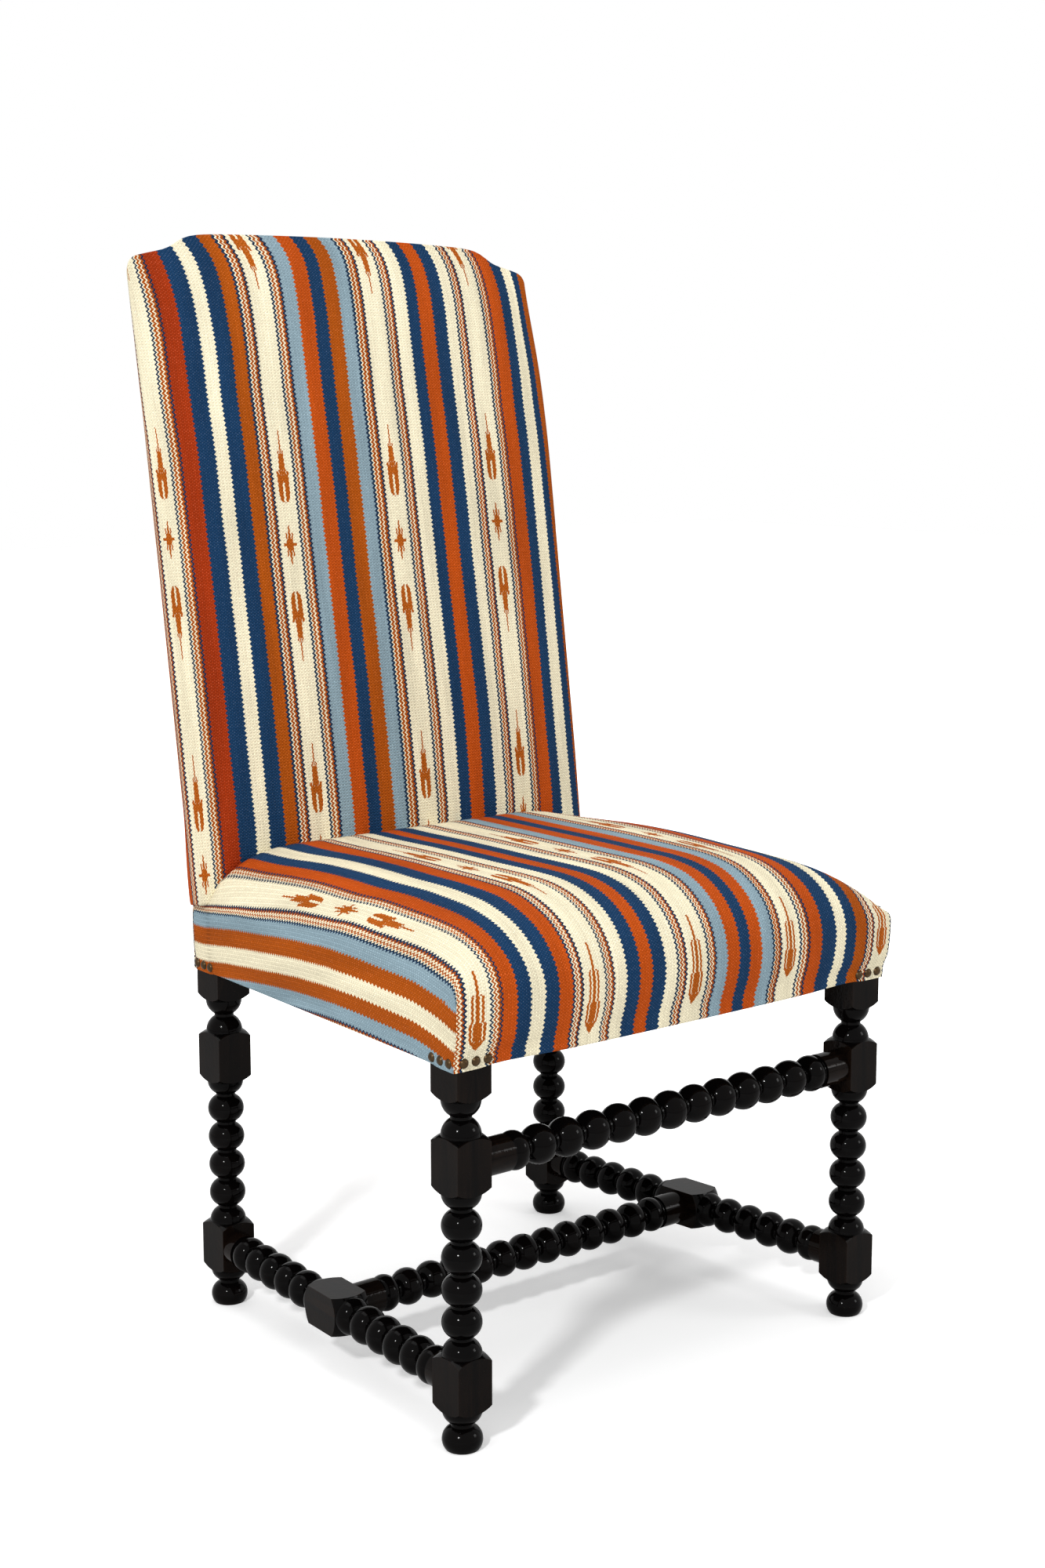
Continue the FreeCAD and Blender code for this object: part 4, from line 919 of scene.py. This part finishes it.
def shapeBackFront(columns, ny, spots):
    # bends the grid to the stuffed front; returns each point's place on the flat outline, and its depth
    flatPlace, depthOf = {}, {}
    for (i, j), vert in spots.items():
        side, inset, sideLevel = columns[i]
        full = inset if side == 0 else side * (back["half"] - inset)
        top = backTop(full)
        if j <= back["lowSteps"]:
            height = back["bottom"] + (top - back["roll"] - back["bottom"]) * j / back["lowSteps"]
            topLevel = 1.0
        else:
            topLevel = sin(radians(90) * (ny - j) / back["topSteps"])
            height = top - rollInset(topLevel, back["roll"], back["fullness"])
        x = full * backHalf(height) / back["half"]
        level = blendLevels(sideLevel, topLevel)
        share = back["recedeMiddle"] + back["recedeSide"] * (x / back["half"]) ** 2
        away = back["recede"] * smooth(*back["recedeSpan"], height) * share
        depth = min(back["widest"] - back["crown"] * level + away, back["clearOfRail"])
        flatPlace[i, j], depthOf[i, j] = (x, height), depth
        vert.co = leanBack(x + shiftAt(x, height), depth, height)
    return flatPlace, depthOf


def makeBackCover():
    columns = backColumns()
    nx, ny = len(columns) - 1, back["lowSteps"] + back["topSteps"]
    bm, spots = newGrid(nx, ny)
    flatPlace, depthOf = shapeBackFront(columns, ny, spots)
    uv = layCloth(bm, spots, lambda key: clothOnBack(*flatPlace[key]))
    # the border: sides and top are carried back ring by ring to the frame's rear, then turned in
    current = {k: v for k, v in spots.items() if k[0] in (0, nx) or k[1] == ny}
    dropOf = {k: 0.0 for k in current}
    for step in range(1, back["edgeSteps"] + 2):
        share = min(step / back["edgeSteps"], 1)
        inward = 0 if step <= back["edgeSteps"] else back["lastTurn"]
        following, newDrop = carryRim(bm, current), {}
        for key, vert in following.items():
            x, height = flatPlace[key]
            drawnIn = share ** back["taperPower"]
            narrow = 1 - (taperAt(height) * drawnIn + inward) / back["half"]
            lower = (back["topTaper"] * drawnIn + inward) * smooth(*back["topTaperSpan"], height)
            depth = depthOf[key] + (back["rear"] - depthOf[key]) * share
            vert.co = leanBack(x * narrow + shiftAt(x, height) * (1 - share), depth, height - lower)
            newDrop[key] = dropOf[key] + (vert.co - current[key].co).length / mm
        for loop, keys, key, drop in ringCorners(bm, current, following, dropOf, newDrop):
            u, v = clothOnBack(*flatPlace[key])
            if all(k[1] == ny for k in keys):
                v += drop
            else:
                u += drop if u > 0 else -drop
            loop[uv].uv = (u * mm, v * mm)
        current, dropOf = following, newDrop
    free = {spots[i, j] for i in range(2, nx - 1) for j in range(3, ny - 1)}
    return finishCover(bm, "backUpholstery", backKilim, back, free)


seatCover = makeSeatCover()
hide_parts("seat_cover")
backCover = makeBackCover()
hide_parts("inside_back_cover")
print("seat and back covered")


def camelName(node):
    first, *others = node.split("_")
    return first + "".join(word.capitalize() for word in others)


def copyOfPart(node, name, material, longest=None):
    # a soft piece that keeps its solid's own form, with edges up to longest mm where that is given
    bm = bmesh.new()
    bm.from_mesh(parts[node].data)
    bmesh.ops.remove_doubles(bm, verts=bm.verts, dist=1e-5)
    bmesh.ops.dissolve_limit(bm, angle_limit=radians(1), verts=bm.verts, edges=bm.edges)
    if longest:
        bmesh.ops.triangulate(bm, faces=bm.faces)
        for _ in range(4):
            wide = [e for e in bm.edges if e.calc_length() > longest * mm]
            if wide:
                bmesh.ops.subdivide_edges(bm, edges=wide, cuts=1)
                bmesh.ops.triangulate(bm, faces=bm.faces)
    piece = finishPiece(bm, name, material, rounded=False)
    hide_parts(node)
    return piece


def meetBorder(piece):
    # the cloth behind is drawn in to the border's rear edge, and gets stripes that run up it
    mesh = piece.data
    for vert in mesh.vertices:
        height = (vert.co.z / mm - back["originZ"]) / cos(radians(back["rake"]))
        if height > back["outsideFrom"]:
            drawnIn = taperAt(height) - back["solidTaper"] + back["outsideGap"]
            vert.co.x *= 1 - drawnIn / back["half"]
    uvMap = mesh.uv_layers.new(name="cloth")
    for loop in mesh.loops:
        spot = mesh.vertices[loop.vertex_index].co
        uvMap.data[loop.index].uv = (spot.x, spot.z - back["outsideStart"])


# in mm: longest edge of the stuffing's mesh, its gap under the cover, how near the cover it is drawn in
tucking = dict(longest=18, gap=6.0, reach=30, rounds=4)


def tuckUnder(piece, cover):
    # the stuffing is drawn in wherever it would come through its cover
    faces = [p.vertices[:] for p in cover.data.polygons]
    near = BVHTree.FromPolygons([v.co for v in cover.data.vertices], faces)
    for vert in list(piece.data.vertices) * tucking["rounds"]:
        # several rounds, for near an edge a vertex has to come in from two sides
        spot, normal, _, away = near.find_nearest(vert.co)
        below = (spot - vert.co).dot(normal)
        if away < tucking["reach"] * mm and below < tucking["gap"] * mm:
            vert.co -= normal * (tucking["gap"] * mm - below)


outsideBack = copyOfPart("outside_back_cover", "outsideBackCloth", backKilim)
meetBorder(outsideBack)
dust = copyOfPart("dust_cover", "dustCloth", dustCloth)
for node in ("seat_webbing_lengthwise", "seat_webbing_crosswise", "back_webbing_upright",
             "back_webbing_crosswise"):
    copyOfPart(node, camelName(node), webbingCloth)
seatHessian = copyOfPart("seat_hessian", "seatHessian", hessianCloth)
backHessian = copyOfPart("back_hessian", "backHessian", hessianCloth)
for node in ("seat_padding", "seat_edge_wadding", "back_padding", "back_edge_wadding"):
    stuffing = copyOfPart(node, camelName(node), filling, longest=tucking["longest"])
    tuckUnder(stuffing, seatCover if "seat" in node else backCover)
print("linings in place")


shot = dict(eye=(-1.4764, -1.8116, 0.9184), yaw=39.763, pitch=9.115, lens=54.0)
camera = addObject("camera", bpy.data.cameras.new("camera"))
camera.location = shot["eye"]
camera.rotation_euler = (radians(90 - shot["pitch"]), 0, radians(-shot["yaw"]))
camera.data.lens = shot["lens"]
camera.data.sensor_width = 36
camera.data.clip_end = 60
bpy.context.scene.camera = camera

studio = dict(
    key=dict(spot=(-2.9, -1.6, 2.4), size=0.3, power=78),
    fill=dict(spot=(2.2, -2.4, 1.6), size=0.8, power=18),
    top=dict(spot=(0.0, 0.2, 3.2), size=2.4, power=38))
chairMiddle = Vector((0, 0, 0.5))


def softBox(name, spot, size, power):
    lamp = bpy.data.lights.new(name, "AREA")
    lamp.size = size
    lamp.energy = power
    holder = addObject(name, lamp)
    holder.location = spot
    holder.rotation_euler = (chairMiddle - Vector(spot)).to_track_quat("-Z", "Y").to_euler()


for name, values in studio.items():
    softBox(name + "Light", **values)

surround = dict(seen=1.0, lighting=0.55)


def paintWorld():
    # plain white where the camera, a pane or a gloss sees it, and dimmer as a light
    world = bpy.data.worlds.new("studioWorld")
    bpy.context.scene.world = world
    world.use_nodes = True
    tree = world.node_tree
    rays = addNode(tree, "LightPath")
    seen = calc(tree, "MAXIMUM", rays.outputs["Is Camera Ray"], rays.outputs["Is Transmission Ray"])
    seen = calc(tree, "MAXIMUM", seen, rays.outputs["Is Glossy Ray"])
    strength = remap(tree, seen, 0.0, 1.0, surround["lighting"], surround["seen"])
    setInputs(tree, tree.nodes["Background"], {0: (1, 1, 1, 1), 1: strength})


# size and distances from the middle in m
paper = dict(size=12, shade=0.9, roughness=0.9, glowSpan=(0.3, 1.3), glow=(0.3, 1.0))


def layFloor():
    bm = bmesh.new()
    bmesh.ops.create_grid(bm, x_segments=1, y_segments=1, size=paper["size"])
    mesh = bpy.data.meshes.new("floor")
    bm.to_mesh(mesh)
    bm.free()
    # matt white paper that burns out to plain white away from the chair, and keeps its shadow near it
    material, tree, shader = newMaterial("whitePaperFloor", "FFFFFF")
    away = addNode(tree, "VectorMath", {0: objectSpot(tree)}, operation="LENGTH").outputs["Value"]
    glow = remap(tree, away, *paper["glowSpan"], *paper["glow"], interpolation_type="SMOOTHSTEP")
    rays = addNode(tree, "LightPath")
    setInputs(tree, shader, {
        "Base Color": [paper["shade"]] * 3 + [1], "Roughness": paper["roughness"],
        "Emission Color": (1, 1, 1, 1),
        "Emission Strength": calc(tree, "MULTIPLY", glow, rays.outputs["Is Camera Ray"])})
    mesh.materials.append(material)
    return addObject("floor", mesh)


paintWorld()
floor = layFloor()

scene = bpy.context.scene
scene.view_settings.view_transform = "Standard"
print("studio set")
